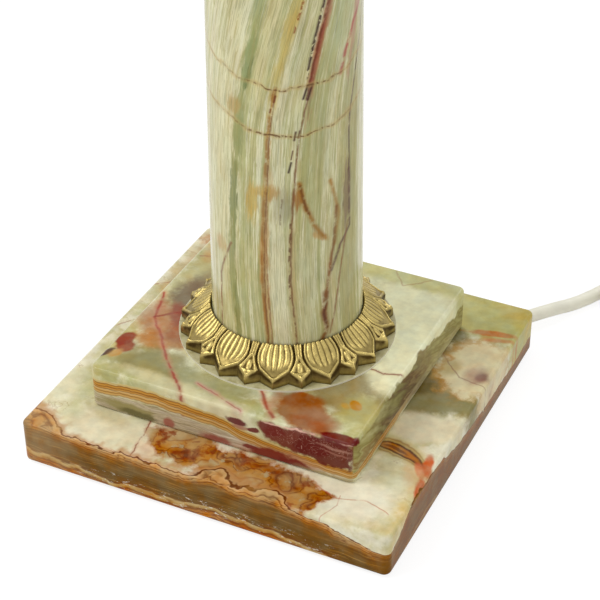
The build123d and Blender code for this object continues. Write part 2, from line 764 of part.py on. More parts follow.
def wire(side):
    """One insulated core, from the sheath's end up the rod to its terminal."""
    near, far = wire_side * (side * WIRE_SPREAD), wire_side * (side * TERMINAL_OUT)
    corners = [
        Vector(*on_heading(sheath_end, Z_LEAD)) + near,
        Vector(near.X, near.Y, Z_LEAD),
        Vector(near.X, near.Y, Z_ROD_TOP + WIRE_OVER_ROD),
        Vector(far.X, far.Y, Z_BLOCK + WIRE_END_GAP),
        Vector(far.X, far.Y, Z_BLOCK + TERMINAL_HOLE_DEPTH - WIRE_END_GAP),
    ]
    with BuildPart() as core:
        with BuildLine() as way:
            FilletPolyline(*corners, radius=[WIRE_BEND_R, WIRE_BEND_R, WIRE_BEND_R])
        with BuildSketch(Plane(way.line @ 0, z_dir=way.line % 0)):
            Circle(WIRE_R)
        sweep()
    return core


keep("wire_live", wire(1))
keep("wire_neutral", wire(-1))

# ---- free lead on the table ------------------------------------------------------


def tube(corners, label):
    """Round lead along straight runs joined by tangent arcs as large as they allow."""
    points = [Vector(*corner) for corner in corners]
    radii = []
    for before, at, after in zip(points, points[1:], points[2:]):
        turn = (at - before).get_angle(after - at)
        shorter = min((at - before).length, (after - at).length)
        radii.append(BEND_SHARE * shorter / tan(radians(turn) / 2))
    with BuildPart() as lead:
        with BuildLine() as way:
            FilletPolyline(*points, radius=radii)
        with BuildSketch(Plane(way.line @ 0, z_dir=way.line % 0)):
            Circle(LEAD_R)
        sweep()
    length = way.wires()[0].length
    print(f"{label}: length {length:.1f}, radii {[round(r) for r in radii]},",
          f"volume / (section x length) {lead.part.volume / (pi * LEAD_R**2 * length):.4f}")
    return lead, length


def heading_of(start, end):
    """Direction on the table from one point to the next, in degrees."""
    return degrees(atan2(end[1] - start[1], end[0] - start[0]))


gland_mouth = on_heading(gland_tip, Z_LEAD)
first_corner = on_heading(gland_tip + LEAD_FIRST_RUN, Z_LEAD)
cord, cord_length = tube([gland_mouth, first_corner, *ROUTE], "cord")
keep("cord", cord)

coil_heading = radians(heading_of(ROUTE[-2], ROUTE[-1]))
coil_along = Vector(cos(coil_heading), sin(coil_heading))
coil_start = Vector(*ROUTE[-1])


def coil_line():
    """Half turns that spiral in on the table, climb, and spiral out on top of it."""
    radii = [COIL_R - count * COIL_PITCH / 2 for count in range(COIL_HALF_TURNS)]
    climb_r = COIL_R - COIL_HALF_TURNS * COIL_PITCH / 2
    steps = [(r, 0.0) for r in radii] + [(climb_r, COIL_PITCH)] + [(r, 0.0) for r in reversed(radii)]
    at, along = coil_start, coil_along
    with BuildLine() as way:
        ahead = at + along * (2 * LEAD_R)
        Line(at, ahead)
        at = ahead
        for radius, climb in steps:
            across = Vector(along.Y, -along.X)
            chord = across * (2 * radius) + Vector(0, 0, climb)
            ThreePointArc(at, at + chord / 2 + along * (chord.length / 2), at + chord)
            at, along = at + chord, along * -1
        ahead = at + along * (2 * LEAD_R)
        Line(at, ahead)
    return way.wires()[0], ahead, along


def least_gap(line, skip):
    """The least clear distance between stretches of a tube that aren't neighbours."""
    count = 900
    points = [line @ (index / count) for index in range(count + 1)]
    apart = int(skip / line.length * count)
    return min(
        (points[i] - points[j]).length
        for i in range(0, count + 1, 2)
        for j in range(i + apart, count + 1)
    ) - 2 * LEAD_R


coil_path, coil_end, tail_along = coil_line()
with BuildPart() as cord_coil:
    with BuildLine():
        add(coil_path)
    with BuildSketch(Plane(coil_path @ 0, z_dir=coil_path % 0)):
        Circle(LEAD_R)
    sweep()
keep("cord_coil", cord_coil)
print(f"coil: length {coil_path.length:.1f}, least gap to itself {least_gap(coil_path, 60):.2f},",
      f"volume / (section x length) {cord_coil.part.volume / (pi * LEAD_R**2 * coil_path.length):.4f}")

tail = [coil_end, coil_end + tail_along * TAIL_FIRST_RUN]
for heading, run, z in TAIL:
    last = tail[-1]
    turned = radians(heading)
    tail.append(Vector(last.X + run * cos(turned), last.Y + run * sin(turned), z))
cord_tail, tail_length = tube(tail, "cord tail")
keep("cord_tail", cord_tail)
print(f"lead from the gland to the plug: {cord_length + coil_path.length + tail_length:.0f}")

# ---- plug ------------------------------------------------------------------------

last_heading = radians(TAIL[-1][0])
plug_place = Plane(tail[-1], x_dir=(cos(last_heading), sin(last_heading), 0)).location
body_from, body_to = PLUG_SLEEVE, PLUG_SLEEVE + PLUG_LENGTH


def at_lead_end(name, form):
    """Files a piece of the plug, built along +X, in its place on the lead."""
    with BuildPart() as placed:
        with Locations(plug_place):
            add(form.part)
    keep(name, placed)


with BuildPart() as plug_form:
    with BuildSketch():
        with BuildLine():
            half, neck_half = PLUG_WIDTH / 2, PLUG_NECK_WIDTH / 2
            shoulder = body_from + PLUG_LENGTH * PLUG_SHOULDER
            Polyline(
                (body_from, neck_half),
                (body_from, -neck_half),
                (shoulder, -half),
                (body_to, -half),
                (body_to, half),
                (shoulder, half),
                close=True,
            )
        make_face()
    extrude(amount=PLUG_THICK / 2, both=True)
    fillet(plug_form.edges().filter_by(Axis.Z), PLUG_CORNER_R)
    fillet(plug_form.faces().filter_by(Axis.Z).edges(), PLUG_EDGE_R)
    add(slope_rod((0, 0, 0), (body_from + SLEEVE_INTO_BODY, 0, 0), GLAND_TIP_R, PLUG_SLEEVE_R))
at_lead_end("plug_body", plug_form)

with BuildPart() as pin_form:
    with BuildSketch(Plane.YZ.offset(body_to)):
        with Locations((PIN_SPACING / 2, 0), (-PIN_SPACING / 2, 0)):
            Circle(PIN_R)
    extrude(amount=PIN_LENGTH)
at_lead_end("plug_pins", pin_form)

# ---- files -----------------------------------------------------------------------

os.makedirs("parts", exist_ok=True)
for name, piece in parts.items():
    export_step(piece, f"parts/{name}.step")
print(f"{len(parts)} nodes, {Z_SKIRT + SKIRT_HEIGHT:.1f} mm tall")
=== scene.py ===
from functools import partial, reduce
from math import cos, pi, radians, sin

import bpy
from mathutils import Matrix, Vector


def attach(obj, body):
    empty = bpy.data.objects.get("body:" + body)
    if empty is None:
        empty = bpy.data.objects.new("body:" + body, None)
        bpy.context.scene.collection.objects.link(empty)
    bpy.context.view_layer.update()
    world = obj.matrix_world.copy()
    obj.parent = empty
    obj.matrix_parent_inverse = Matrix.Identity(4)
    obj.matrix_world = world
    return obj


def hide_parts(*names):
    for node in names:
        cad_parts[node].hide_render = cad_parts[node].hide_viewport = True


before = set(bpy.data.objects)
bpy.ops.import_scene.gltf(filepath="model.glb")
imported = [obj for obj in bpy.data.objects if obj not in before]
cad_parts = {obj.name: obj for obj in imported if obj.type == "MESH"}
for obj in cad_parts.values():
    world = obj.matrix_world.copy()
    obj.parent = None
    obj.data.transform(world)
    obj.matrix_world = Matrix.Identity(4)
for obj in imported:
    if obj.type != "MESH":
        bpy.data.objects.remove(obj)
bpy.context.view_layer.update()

# ---- camera ----------------------------------------------------------------------
# A still-life camera that looks down on the foot from the front right. It stands
# 0.8 m off with a long lens, so the plates show little perspective.

camera_data = bpy.data.cameras.new("camera")
camera_data.sensor_width = 36
camera_data.lens = 103.46
camera = bpy.data.objects.new("camera", camera_data)
bpy.context.collection.objects.link(camera)
azimuth, looks_down, roll = 25.775, 35.073, -0.338
camera_turn = (
    Matrix.Rotation(radians(azimuth), 4, "Z")
    @ Matrix.Rotation(radians(90 - looks_down), 4, "X")
    @ Matrix.Rotation(radians(roll), 4, "Z")
)
camera.matrix_world = Matrix.Translation((0.28484, -0.57668, 0.51128)) @ camera_turn
bpy.context.scene.camera = camera
bpy.context.scene.view_settings.view_transform = "Standard"

# ---- mains lead ------------------------------------------------------------------
# Round two-core lighting flex in white PVC, 6.7 mm across. It comes straight out of
# the moulded sleeve at the foot and lies on the table; the length that isn't needed
# is wound into a neat coil of two layers, with the plug beside it.

MM = 0.001
LEAD_THICK = 6.7
LYING = 3.4  # height of the lead's middle where it lies on the table
SLEEVE_REACH, SLEEVE_HEIGHT = 130.29, 5.9
STRAIGHT_RUN = 17.7
COIL_OUTER, COIL_STEP, COIL_INNER = 49.2, 3.6, 27.6
INWARD_TURNS, HALF_TURN_POINTS = 6, 7
LAYER_CLIMB = 7.2
TAIL_RUN = 13.0
lead_heading = radians(52.6)
lead_out = Vector((cos(lead_heading), sin(lead_heading), 0))
sleeve_tip = lead_out * SLEEVE_REACH + Vector((0, 0, SLEEVE_HEIGHT))
lead_points = [
    sleeve_tip,
    sleeve_tip + lead_out * STRAIGHT_RUN,
    Vector((98.9, 131.4, LYING)),
    Vector((107.6, 147.1, LYING)),
]
at = Vector((118.2, 169.5, LYING))
along = (at - lead_points[-1]).normalized()
# Half turns of the coil, as radius and climb: inwards on the table, up, and outwards.
half_turns = [(COIL_OUTER - COIL_STEP * count, 0.0) for count in range(INWARD_TURNS)]
half_turns += [(COIL_INNER, LAYER_CLIMB)] + half_turns[::-1]
at = at + along * LEAD_THICK
for radius, climb in half_turns:
    across = Vector((along.y, -along.x, 0))
    reach = radius / cos(pi / HALF_TURN_POINTS / 2)
    for step in range(HALF_TURN_POINTS):
        angle = pi * (step + 0.5) / HALF_TURN_POINTS
        lifted = Vector((0, 0, climb * (step + 0.5) / HALF_TURN_POINTS))
        lead_points.append(
            at + across * (radius - reach * cos(angle)) + along * (reach * sin(angle)) + lifted
        )
    at = at + across * (2 * radius) + Vector((0, 0, climb))
    along = -along
at = at + along * (LEAD_THICK + TAIL_RUN)
lead_points.append(at)
# Off the coil and into the plug: heading in degrees, run and height.
for heading, run, height in ((252.0, 14.0, 8.6), (259.0, 13.0, 6.9), (264.0, 13.0, 6.9)):
    bearing = radians(heading)
    at = Vector((at.x + run * cos(bearing), at.y + run * sin(bearing), height))
    lead_points.append(at)

lead_curve = bpy.data.curves.new("mains_lead", "CURVE")
lead_curve.dimensions = "3D"
lead_line = lead_curve.splines.new("NURBS")
lead_line.points.add(len(lead_points) - 1)
for point, place in zip(lead_line.points, lead_points):
    point.co = (*(place * MM), 1)
lead_line.order_u = 3
lead_line.use_endpoint_u = True
lead_line.resolution_u = 8
lead_curve.bevel_depth = LEAD_THICK / 2 * MM
lead_curve.bevel_resolution = 6
lead_curve.use_fill_caps = True
mains_lead = bpy.data.objects.new("mains_lead", lead_curve)
bpy.context.collection.objects.link(mains_lead)


def fill(node, inputs):
    """Fills a node's inputs with values, or with what other nodes give."""
    for key, value in inputs.items():
        if isinstance(value, bpy.types.NodeSocket):
            node.id_data.links.new(value, node.inputs[key])
        else:
            node.inputs[key].default_value = value


def add_node(kind, inputs, tree=None, **settings):
    """Adds a node to a tree, which is the one its inputs come from if none is named."""
    if tree is None:
        links = [value for value in inputs.values() if isinstance(value, bpy.types.NodeSocket)]
        tree = links[0].id_data
    made = tree.nodes.new(kind)
    for name, value in settings.items():
        setattr(made, name, value)
    fill(made, inputs)
    return made


def new_material(name, **sockets):
    """A material with one Principled shader, and where the piece is in millimetres."""
    made = bpy.data.materials.new(name)
    made.use_nodes = True
    tree = made.node_tree
    tree.nodes.clear()
    shader = add_node("ShaderNodeBsdfPrincipled", sockets, tree)
    add_node("ShaderNodeOutputMaterial", {"Surface": shader.outputs["BSDF"]})
    metres = add_node("ShaderNodeTexCoord", {}, tree).outputs["Object"]
    place = add_node("ShaderNodeMapping", {"Vector": metres, "Scale": (1000, 1000, 1000)})
    return made, shader, place.outputs["Vector"]


def colour(red, green, blue):
    """A tone as it is seen on a screen, 0 to 255, turned into a shader's colour."""
    seen = [part / 255 for part in (red, green, blue)]
    dark = 0.04045
    light = [part / 12.92 if part <= dark else ((part + 0.055) / 1.055) ** 2.4 for part in seen]
    return (*light, 1)


def lay_over(under, over, share):
    """Lays one colour or tone over another, by a mask."""
    under, over = [colour(*tone) if isinstance(tone, tuple) else tone for tone in (under, over)]
    return add_node("ShaderNodeMix", {0: share, 6: under, 7: over}, data_type="RGBA").outputs[2]


def noise(place, size, detail=3.0, roughness=0.5):
    """Soft noise whose features are about this many millimetres across."""
    inputs = {"Vector": place, "Scale": 1 / size, "Detail": detail, "Roughness": roughness}
    return add_node("ShaderNodeTexNoise", inputs).outputs["Fac"]


def spread(value, low, high, to_low=0.0, to_high=1.0):
    """Maps a range of values onto another, eased at both ends."""
    inputs = dict(enumerate((value, low, high, to_low, to_high)))
    return add_node("ShaderNodeMapRange", inputs, interpolation_type="SMOOTHSTEP").outputs[0]


def clouded(name, first, second, size, low, high, detail=3.0, **sockets):
    """A material whose two tones lie in soft clouds; gives its shader, place and clouds too."""
    made, shader, place = new_material(name, **sockets)
    clouds = noise(place, size, detail)
    fill(shader, {"Base Color": lay_over(first, second, spread(clouds, low, high))})
    return made, shader, place, clouds


def roughen(shader, height, strength, distance):
    """Gives a surface its fine relief."""
    inputs = {"Height": height, "Strength": strength, "Distance": distance}
    fill(shader, {"Normal": add_node("ShaderNodeBump", inputs).outputs["Normal"]})


def pvc(name, tone, roughness, mark):
    """Moulded or drawn PVC: even, slightly soft gloss, with faint handling marks."""
    faded = tuple(part * 0.97 for part in tone)
    made, shader, place, clouds = clouded(name, tone, faded, 9.0, 0.4, 0.75, Roughness=roughness)
    fill(shader, {"Roughness": spread(clouds, 0.3, 0.7, roughness - 0.06, roughness + 0.1)})
    roughen(shader, noise(place, mark), 0.12, 0.0002)
    return made


def finish(material, *nodes):
    """Gives CAD nodes their material."""
    for node in nodes:
        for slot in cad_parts[node].material_slots:
            slot.material = material


sheath_pvc = pvc("white_sheath", (246, 243, 225), 0.42, 1.5)
lead_curve.materials.append(sheath_pvc)
finish(sheath_pvc, "inner_lead")
finish(pvc("white_moulding", (244, 241, 226), 0.38, 0.8), "cord_gland", "plug_body")
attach(mains_lead, "lamp")
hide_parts("cord", "cord_coil", "cord_tail")

# ---- wires inside ----------------------------------------------------------------
# The lead's two cores, stripped of their sheath in the foot's pocket and drawn up
# through the hollow rod to the terminals. Brown is live and blue is neutral.

finish(pvc("brown_core", (122, 74, 44), 0.4, 0.6), "wire_live")
finish(pvc("blue_core", (50, 96, 170), 0.4, 0.6), "wire_neutral")

# ---- felt ------------------------------------------------------------------------
# A square of green baize glued under the foot, so that the stone can't scratch the
# table. Its cut edge stands in a little from the stone's edge.

FELT_SIDE = 174.0
FELT_THICK = 1.5
FELT_CELLS = 24
baize, shader, _, fibres = clouded(
    "green_baize", (40, 74, 50), (66, 104, 72), 0.5, 0.35, 0.7, detail=4, Roughness=0.95
)
shader.inputs["Sheen Weight"].default_value = 0.4
roughen(shader, fibres, 0.5, 0.0004)


def new_piece(name, points, faces, material):
    """A mesh piece from points in millimetres."""
    mesh = bpy.data.meshes.new(name)
    mesh.from_pydata([tuple(part * MM for part in point) for point in points], [], faces)
    mesh.materials.append(material)
    mesh.validate()
    made = bpy.data.objects.new(name, mesh)
    bpy.context.collection.objects.link(made)
    return made


steps = [(count / FELT_CELLS - 0.5) * FELT_SIDE for count in range(FELT_CELLS + 1)]
felt_points = [(x, y, level) for level in (0.0, FELT_THICK) for y in steps for x in steps]
felt_faces = []
wide = FELT_CELLS + 1
upper = wide * wide
for row in range(FELT_CELLS):
    for column in range(FELT_CELLS):
        corner = row * wide + column
        above = corner + upper
        felt_faces.append((corner, corner + wide, corner + wide + 1, corner + 1))
        felt_faces.append((above, above + 1, above + wide + 1, above + wide))
last_row = wide * FELT_CELLS
rim = ((0, 1), (FELT_CELLS, wide), (last_row + FELT_CELLS, -1), (last_row, -wide))
for step in range(FELT_CELLS):
    for start, stride in rim:
        low, after = start + step * stride, start + (step + 1) * stride
        felt_faces.append((low, after, after + upper, low + upper))
felt_pad = new_piece("felt_pad", felt_points, felt_faces, baize)
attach(felt_pad, "lamp")
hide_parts("base_felt")

# ---- lower plate -----------------------------------------------------------------
# A square of banded onyx, sawn and polished. The saw ran along the layers, so a cream
# skin lies on top, brown and ochre layers show in the edges, and where the skin runs
# out near the front edge the polish cuts into them.


def arithmetic(operation, *values):
    """One step of arithmetic on values."""
    return add_node("ShaderNodeMath", dict(enumerate(values)), operation=operation).outputs[0]


plus, minus, times, divided, larger, smaller, size_of = [
    partial(arithmetic, operation)
    for operation in ("ADD", "SUBTRACT", "MULTIPLY", "DIVIDE", "MAXIMUM", "MINIMUM", "ABSOLUTE")
]


def vectors(operation, first, second):
    """One step of arithmetic on vectors."""
    return add_node("ShaderNodeVectorMath", {0: first, 1: second}, operation=operation).outputs[0]


def measure(operation, *values):
    """A number worked out from vectors."""
    return add_node("ShaderNodeVectorMath", dict(enumerate(values)), operation=operation).outputs[1]


def scaled(vector, factor):
    """A vector made longer or shorter."""
    inputs = {0: vector, "Scale": factor}
    return add_node("ShaderNodeVectorMath", inputs, operation="SCALE").outputs[0]


def stretched(place, *factors):
    """A place drawn out or pressed along X, Y and Z."""
    return vectors("MULTIPLY", place, factors)


def moved(place, *steps):
    """A place moved along X, Y and Z."""
    return vectors("ADD", place, steps)


def turned(place, angle):
    """A place turned about Z."""
    inputs = {"Vector": place, "Angle": angle}
    return add_node("ShaderNodeVectorRotate", inputs, rotation_type="Z_AXIS").outputs["Vector"]


def coordinates(place):
    """The X, Y and Z of a place."""
    return add_node("ShaderNodeSeparateXYZ", {"Vector": place}).outputs


def clamped(value):
    """A value held between 0 and 1."""
    return add_node("ShaderNodeClamp", {"Value": value}).outputs[0]


def new_group(name, kind, inputs, outputs):
    """An empty node group with these sockets, what it is given, and its end node."""
    tree = bpy.data.node_groups.new(name, kind)
    for way, sockets in (("INPUT", inputs), ("OUTPUT", outputs)):
        for label, sort in sockets.items():
            tree.interface.new_socket(name=label, in_out=way, socket_type="NodeSocket" + sort)
    return tree, tree.nodes.new("NodeGroupInput").outputs, tree.nodes.new("NodeGroupOutput")


stain_group, given, result = new_group(
    "stone_stain",
    "ShaderNodeTree",
    {
        "Place": "Vector", "Fray": "Float", "Centre": "Vector", "Reach": "Vector",
        "Turn": "Float", "Edge": "Float",
    },
    {"Mask": "Float"},
)
from_centre = turned(vectors("SUBTRACT", given["Place"], given["Centre"]), given["Turn"])
away = plus(measure("LENGTH", vectors("DIVIDE", from_centre, given["Reach"])), given["Fray"])
edge = given["Edge"]
fill(result, {"Mask": spread(away, minus(1.0, edge), plus(1.0, edge), 1.0, 0.0)})

vein_group, given, result = new_group(
    "stone_vein",
    "ShaderNodeTree",
    {"Place": "Vector", "From": "Vector", "To": "Vector", "Width": "Float"},
    {"Mask": "Float"},
)
run = vectors("SUBTRACT", given["To"], given["From"])
reach = vectors("SUBTRACT", given["Place"], given["From"])
share = clamped(divided(measure("DOT_PRODUCT", reach, run), measure("DOT_PRODUCT", run, run)))
gap = measure("DISTANCE", reach, scaled(run, share))
fill(result, {"Mask": spread(gap, 0.0, given["Width"], 1.0, 0.0)})


def stain_mask(place, fray, centre, reach, turn, edge):
    """Where one ragged oval stain lies."""
    inputs = {
        "Place": place, "Fray": fray, "Centre": centre, "Reach": reach,
        "Turn": radians(-turn), "Edge": edge,
    }
    return add_node("ShaderNodeGroup", inputs, node_tree=stain_group).outputs["Mask"]


def lay_stains(place, fray, under, stains):
    """Ragged stains, and painted shade, light and reflections laid the same way: centre, reach,
    turn in degrees, softness of edge, tone, strength.
    """
    for *shape, tone, strength in stains:
        under = lay_over(under, tone, times(stain_mask(place, fray, *shape), strength))
    return under


def stain_masks(place, fray, shapes):
    """Where any of several stains lies."""
    return reduce(larger, [stain_mask(place, fray, *shape) for shape in shapes])


def vein_mask(place, width, start, end):
    """Where one straight stretch of a vein lies."""
    inputs = {"Place": place, "From": (*start, 0.0), "To": (*end, 0.0), "Width": width}
    return add_node("ShaderNodeGroup", inputs, node_tree=vein_group).outputs["Mask"]


def lay_veins(place, under, breaks, veins):
    """Hairline veins: points, width, tone, strength. The breaks thin them in places."""
    for points, width, tone, strength in veins:
        whole = reduce(larger, [vein_mask(place, width, *ends) for ends in zip(points, points[1:])])
        under = lay_over(under, tone, times(times(whole, breaks), strength))
    return under


def warp(place, size, reach, detail=2.0):
    """Shifts a place by smooth noise, so that what is drawn there wanders."""
    made = add_node("ShaderNodeTexNoise", {"Vector": place, "Scale": 1 / size, "Detail": detail})
    centred = vectors("SUBTRACT", made.outputs["Color"], (0.5, 0.5, 0.5))
    return vectors("ADD", place, scaled(centred, reach))


def bands(value, stops):
    """A colour ramp from stops of position and tone."""
    made = add_node("ShaderNodeValToRGB", {"Fac": value})
    ramp = made.color_ramp
    while len(ramp.elements) < len(stops):
        ramp.elements.new(0.5)
    for element, (position, tone) in zip(ramp.elements, stops):
        element.position = position
        element.color = colour(*tone)
    return made.outputs["Color"]


def profile(value, bottom, top, stops):
    """A drawn curve through stops, whose heights lie between the bottom and the top."""
    low, high, rise = stops[0][0], stops[-1][0], top - bottom
    made = add_node("ShaderNodeFloatCurve", {"Value": divided(minus(value, low), high - low)})
    line = made.mapping.curves[0]
    line.points[0].location = (0, (stops[0][1] - bottom) / rise)
    line.points[-1].location = (1, (stops[-1][1] - bottom) / rise)
    for at_value, height in stops[1:-1]:
        line.points.new((at_value - low) / (high - low), (height - bottom) / rise)
    made.mapping.update()
    return arithmetic("MULTIPLY_ADD", made.outputs["Value"], rise, bottom)


def wavering(value, ripple, reach, within=0.25):
    """A value that noise moves by up to this much either way."""
    return plus(value, spread(ripple, 0.5 - within, 0.5 + within, -reach, reach))


def fraying(place, amount):
    """What makes a stain's edge ragged: soft lobes and fine crumbs."""
    return times(minus(noise(place, 7.0, detail=6, roughness=0.62), 0.5), amount)


def mottle(place, under, amount):
    """Makes every tone a little uneven, coarsely and finely."""
    coarse = noise(place, 6.0, detail=5, roughness=0.55)
    hue = noise(moved(place, 70, 20, 40), 8.0, detail=4)
    inputs = {
        "Color": under,
        "Hue": spread(hue, 0.3, 0.7, 0.49, 0.51),
        "Saturation": spread(hue, 0.3, 0.7, 1 + amount, 1 - amount),
        "Value": spread(coarse, 0.25, 0.75, 1 - amount, 1 + amount),
    }
    return add_node("ShaderNodeHueSaturation", inputs).outputs["Color"]


def cloudy_onyx(place, pale, green, grey, milky):
    """The ground of the plates: cream and pale green clouds, smoke and milky flecks."""
    drift = warp(place, 30.0, 24.0, detail=4)
    clouds = noise(drift, 34.0, detail=7, roughness=0.58)
    ground = lay_over(pale, green, spread(clouds, 0.44, 0.6))
    smoke = noise(drift, 15.0, detail=6, roughness=0.56)
    ground = lay_over(ground, grey, spread(smoke, 0.56, 0.74, 0.0, 0.5))
    milk = noise(warp(place, 12.0, 9.0), 14.0, detail=5, roughness=0.6)
    ground = lay_over(ground, milky, spread(milk, 0.46, 0.64, 0.0, 0.85))
    contour = size_of(minus(clouds, 0.47))
    wisps = times(spread(contour, 0.0, 0.01, 0.55, 0.0), spread(smoke, 0.45, 0.62))
    ground = lay_over(ground, (158, 120, 72), wisps)
    grain = noise(place, 0.9, detail=3)
    return lay_over(ground, (140, 128, 84), spread(grain, 0.54, 0.85, 0.0, 0.16))


def polish(shader, place, shade, gloss=0.2):
    """The polished skin of the stone: glossy, with soft patches and tiny pits."""
    rubbed = noise(place, 6.0, detail=4)
    fill(shader, {
        "Base Color": shade,
        "Roughness": spread(rubbed, 0.35, 0.75, 0.12, 0.26),
        "Specular IOR Level": gloss,
    })
    roughen(shader, spread(noise(place, 0.7, detail=2), 0.16, 0.3), 0.2, 0.0001)


FOOT_HALF_SIDE = 90.0
SKIN_LEVEL = 23.5
THIN_LAYERS, ALL_LAYERS = 7.0, 28.0
SHORT_CRACK = [(-38, -62), (-36, -69), (-33, -92)]
STONE = {"Roughness": 0.2, "IOR": 1.5, "Specular IOR Level": 0.2}
foot_onyx, shader, place = new_material("onyx_foot", **STONE)
x, y, z = coordinates(place)
wavy = warp(place, 26.0, 6.0, detail=3)
crinkled = warp(wavy, 4.0, 1.8, detail=5)
fray = fraying(place, 1.1)
ground = cloudy_onyx(place, (228, 220, 184), (204, 196, 146), (190, 172, 128), (240, 234, 208))
ground = lay_stains(wavy, fray, ground, [
    ((75, 76, 20), (40, 22, 40), 0, 0.3, (190, 184, 106), 0.9),
    ((86, 86, 20), (12, 9, 40), 0, 0.4, (204, 182, 100), 0.7),
    # The next two dark olive stains, beside the upper plate's right face, are painted shade and a
    # painted reflection of the upper plate in the polished top.
    ((66, 3, 20), (32, 13, 40), 8, 0.25, (136, 124, 68), 0.9),
    ((60, 14, 20), (18, 10, 40), 30, 0.3, (112, 98, 48), 0.85),
    ((74, -17, 20), (18, 9, 40), 12, 0.3, (228, 216, 180), 0.95),
    ((79, 33, 20), (17, 25, 30), 0, 0.16, (196, 152, 80), 0.9),
    ((81, 33, 20), (15, 22, 30), 0, 0.14, (228, 214, 170), 0.97),
    ((84, 29, 20), (6, 7, 30), 0, 0.5, (176, 136, 112), 0.7),
    ((86, 28, 20), (3, 4, 30), 0, 0.5, (140, 96, 84), 0.8),
    ((70, 30, 20), (4, 6, 30), 0, 0.6, (190, 170, 110), 0.6),
    # The next two dark stains, against the upper plate's right face, are painted shade and a
    # painted reflection of the upper plate.
    ((61, 54, 20), (7, 7, 30), 0, 0.4, (106, 98, 50), 0.85),
    ((56, 40, 20), (8, 12, 30), 0, 0.5, (128, 112, 60), 0.7),
    ((79, 63, 20), (13, 2.4, 30), 14, 0.3, (196, 124, 56), 0.95),
    ((84, 59, 20), (8, 1.6, 30), 20, 0.4, (204, 138, 86), 0.7),
    ((86, -73, 20), (7, 10, 12), 0, 0.5, (212, 186, 106), 0.9),
    ((76, -84, 20), (12, 3, 12), 0, 0.6, (206, 182, 120), 0.5),
    ((80, -54, 20), (12, 10, 30), 0, 0.5, (214, 206, 160), 0.6),
    ((83, -44, 20), (5, 14, 30), 10, 0.5, (214, 170, 112), 0.6),
    ((-50, -78, 20), (24, 12, 30), 10, 0.5, (238, 228, 192), 0.9),
    ((-58, -68, 20), (12, 5, 30), -20, 0.5, (190, 176, 126), 0.5),
    ((-30, -84, 20), (6, 8, 30), 0, 0.5, (226, 192, 160), 0.6),
    ((60, -74, 20), (26, 13, 30), 0, 0.4, (240, 232, 204), 0.95),
    ((-72, -30, 20), (12, 40, 30), 0, 0.5, (190, 184, 118), 0.7),
    ((-76, 50, 20), (10, 34, 30), 0, 0.4, (186, 156, 92), 0.7),
    ((-74, 78, 20), (12, 10, 30), 0, 0.4, (196, 132, 76), 0.8),
    ((10, 78, 20), (50, 10, 30), 6, 0.5, (196, 186, 128), 0.6),
])
# The eye of ochre near the right corner is drawn in a place bent into an arch.
bent = arithmetic("MULTIPLY_ADD", x, 0.16, -11.8)
arch = add_node("ShaderNodeCombineXYZ", {"Y": times(bent, bent)}).outputs["Vector"]
arched = vectors("ADD", crinkled, arch)
ground = lay_stains(arched, times(fray, 0.4), ground, [
    ((72, -34.5, 20), (19, 7.0, 30), -20, 0.3, (206, 190, 132), 0.9),
    ((72, -34.6, 20), (17, 5.2, 30), -20, 0.12, (150, 112, 58), 0.9),
    ((72, -34.6, 20), (16, 4.5, 30), -20, 0.14, (196, 170, 104), 0.95),
    ((73, -35.2, 20), (14, 3.3, 30), -20, 0.14, (92, 52, 18), 0.97),
    ((72, -34.9, 20), (12, 2.0, 30), -20, 0.3, (196, 132, 54), 0.95),
    ((70, -34.4, 20), (7, 0.9, 30), -20, 0.3, (128, 76, 28), 0.9),
    ((87.0, -36, 22), (2.6, 7.0, 9), 8, 0.3, (206, 104, 56), 0.9),
    ((84.5, -42, 22), (2.2, 3.4, 9), 30, 0.4, (214, 128, 84), 0.8),
    ((88.5, -50, 22), (2.4, 6.0, 9), 4, 0.3, (196, 96, 48), 0.9),
])

# The ornate patch between the upper plate and the front edge: folded ochre layers.
folds = warp(warp(place, 24.0, 22.0, detail=2), 5.0, 2.4, detail=3)
fold_field = noise(folds, 19.0, detail=3, roughness=0.45)
ornate = bands(fold_field, [
    (0.30, (196, 174, 128)), (0.37, (184, 146, 92)), (0.405, (160, 108, 58)),
    (0.43, (188, 140, 76)), (0.48, (190, 138, 68)), (0.515, (176, 120, 54)),
    (0.528, (126, 70, 28)), (0.545, (178, 122, 56)), (0.58, (160, 98, 42)),
    (0.60, (120, 62, 26)), (0.63, (178, 124, 60)), (0.70, (186, 138, 72)),
])
rust = noise(warp(place, 9.0, 9.0, detail=4), 9.0, detail=5, roughness=0.6)
ornate = lay_over(ornate, (142, 66, 26), spread(rust, 0.51, 0.62, 0.0, 0.85))
ornate = lay_over(ornate, (112, 54, 26), spread(rust, 0.62, 0.68, 0.0, 0.8))
ornate = lay_over(ornate, (186, 172, 132), spread(rust, 0.40, 0.32, 0.0, 0.7))
ornate_mask = stain_masks(crinkled, fray, [
    ((-14, -74, 20), (22, 11, 9), -10, 0.35), ((14, -77, 20), (28, 12, 9), 0, 0.35),
    ((38, -77, 20), (18, 8, 9), -8, 0.35), ((46, -84, 20), (8, 6, 9), 20, 0.35),
    ((54, -76, 20), (6, 3, 9), 0, 0.35),
])
ground = lay_over(ground, (190, 140, 100), spread(ornate_mask, 0.05, 0.45, 0.0, 0.7))
ground = lay_over(ground, ornate, spread(ornate_mask, 0.35, 0.65))
breaks = spread(noise(place, 5.0, detail=4), 0.3, 0.55, 0.15, 1.0)
flat_place = stretched(warp(place, 8.0, 3.0, detail=4), 1, 1, 0)
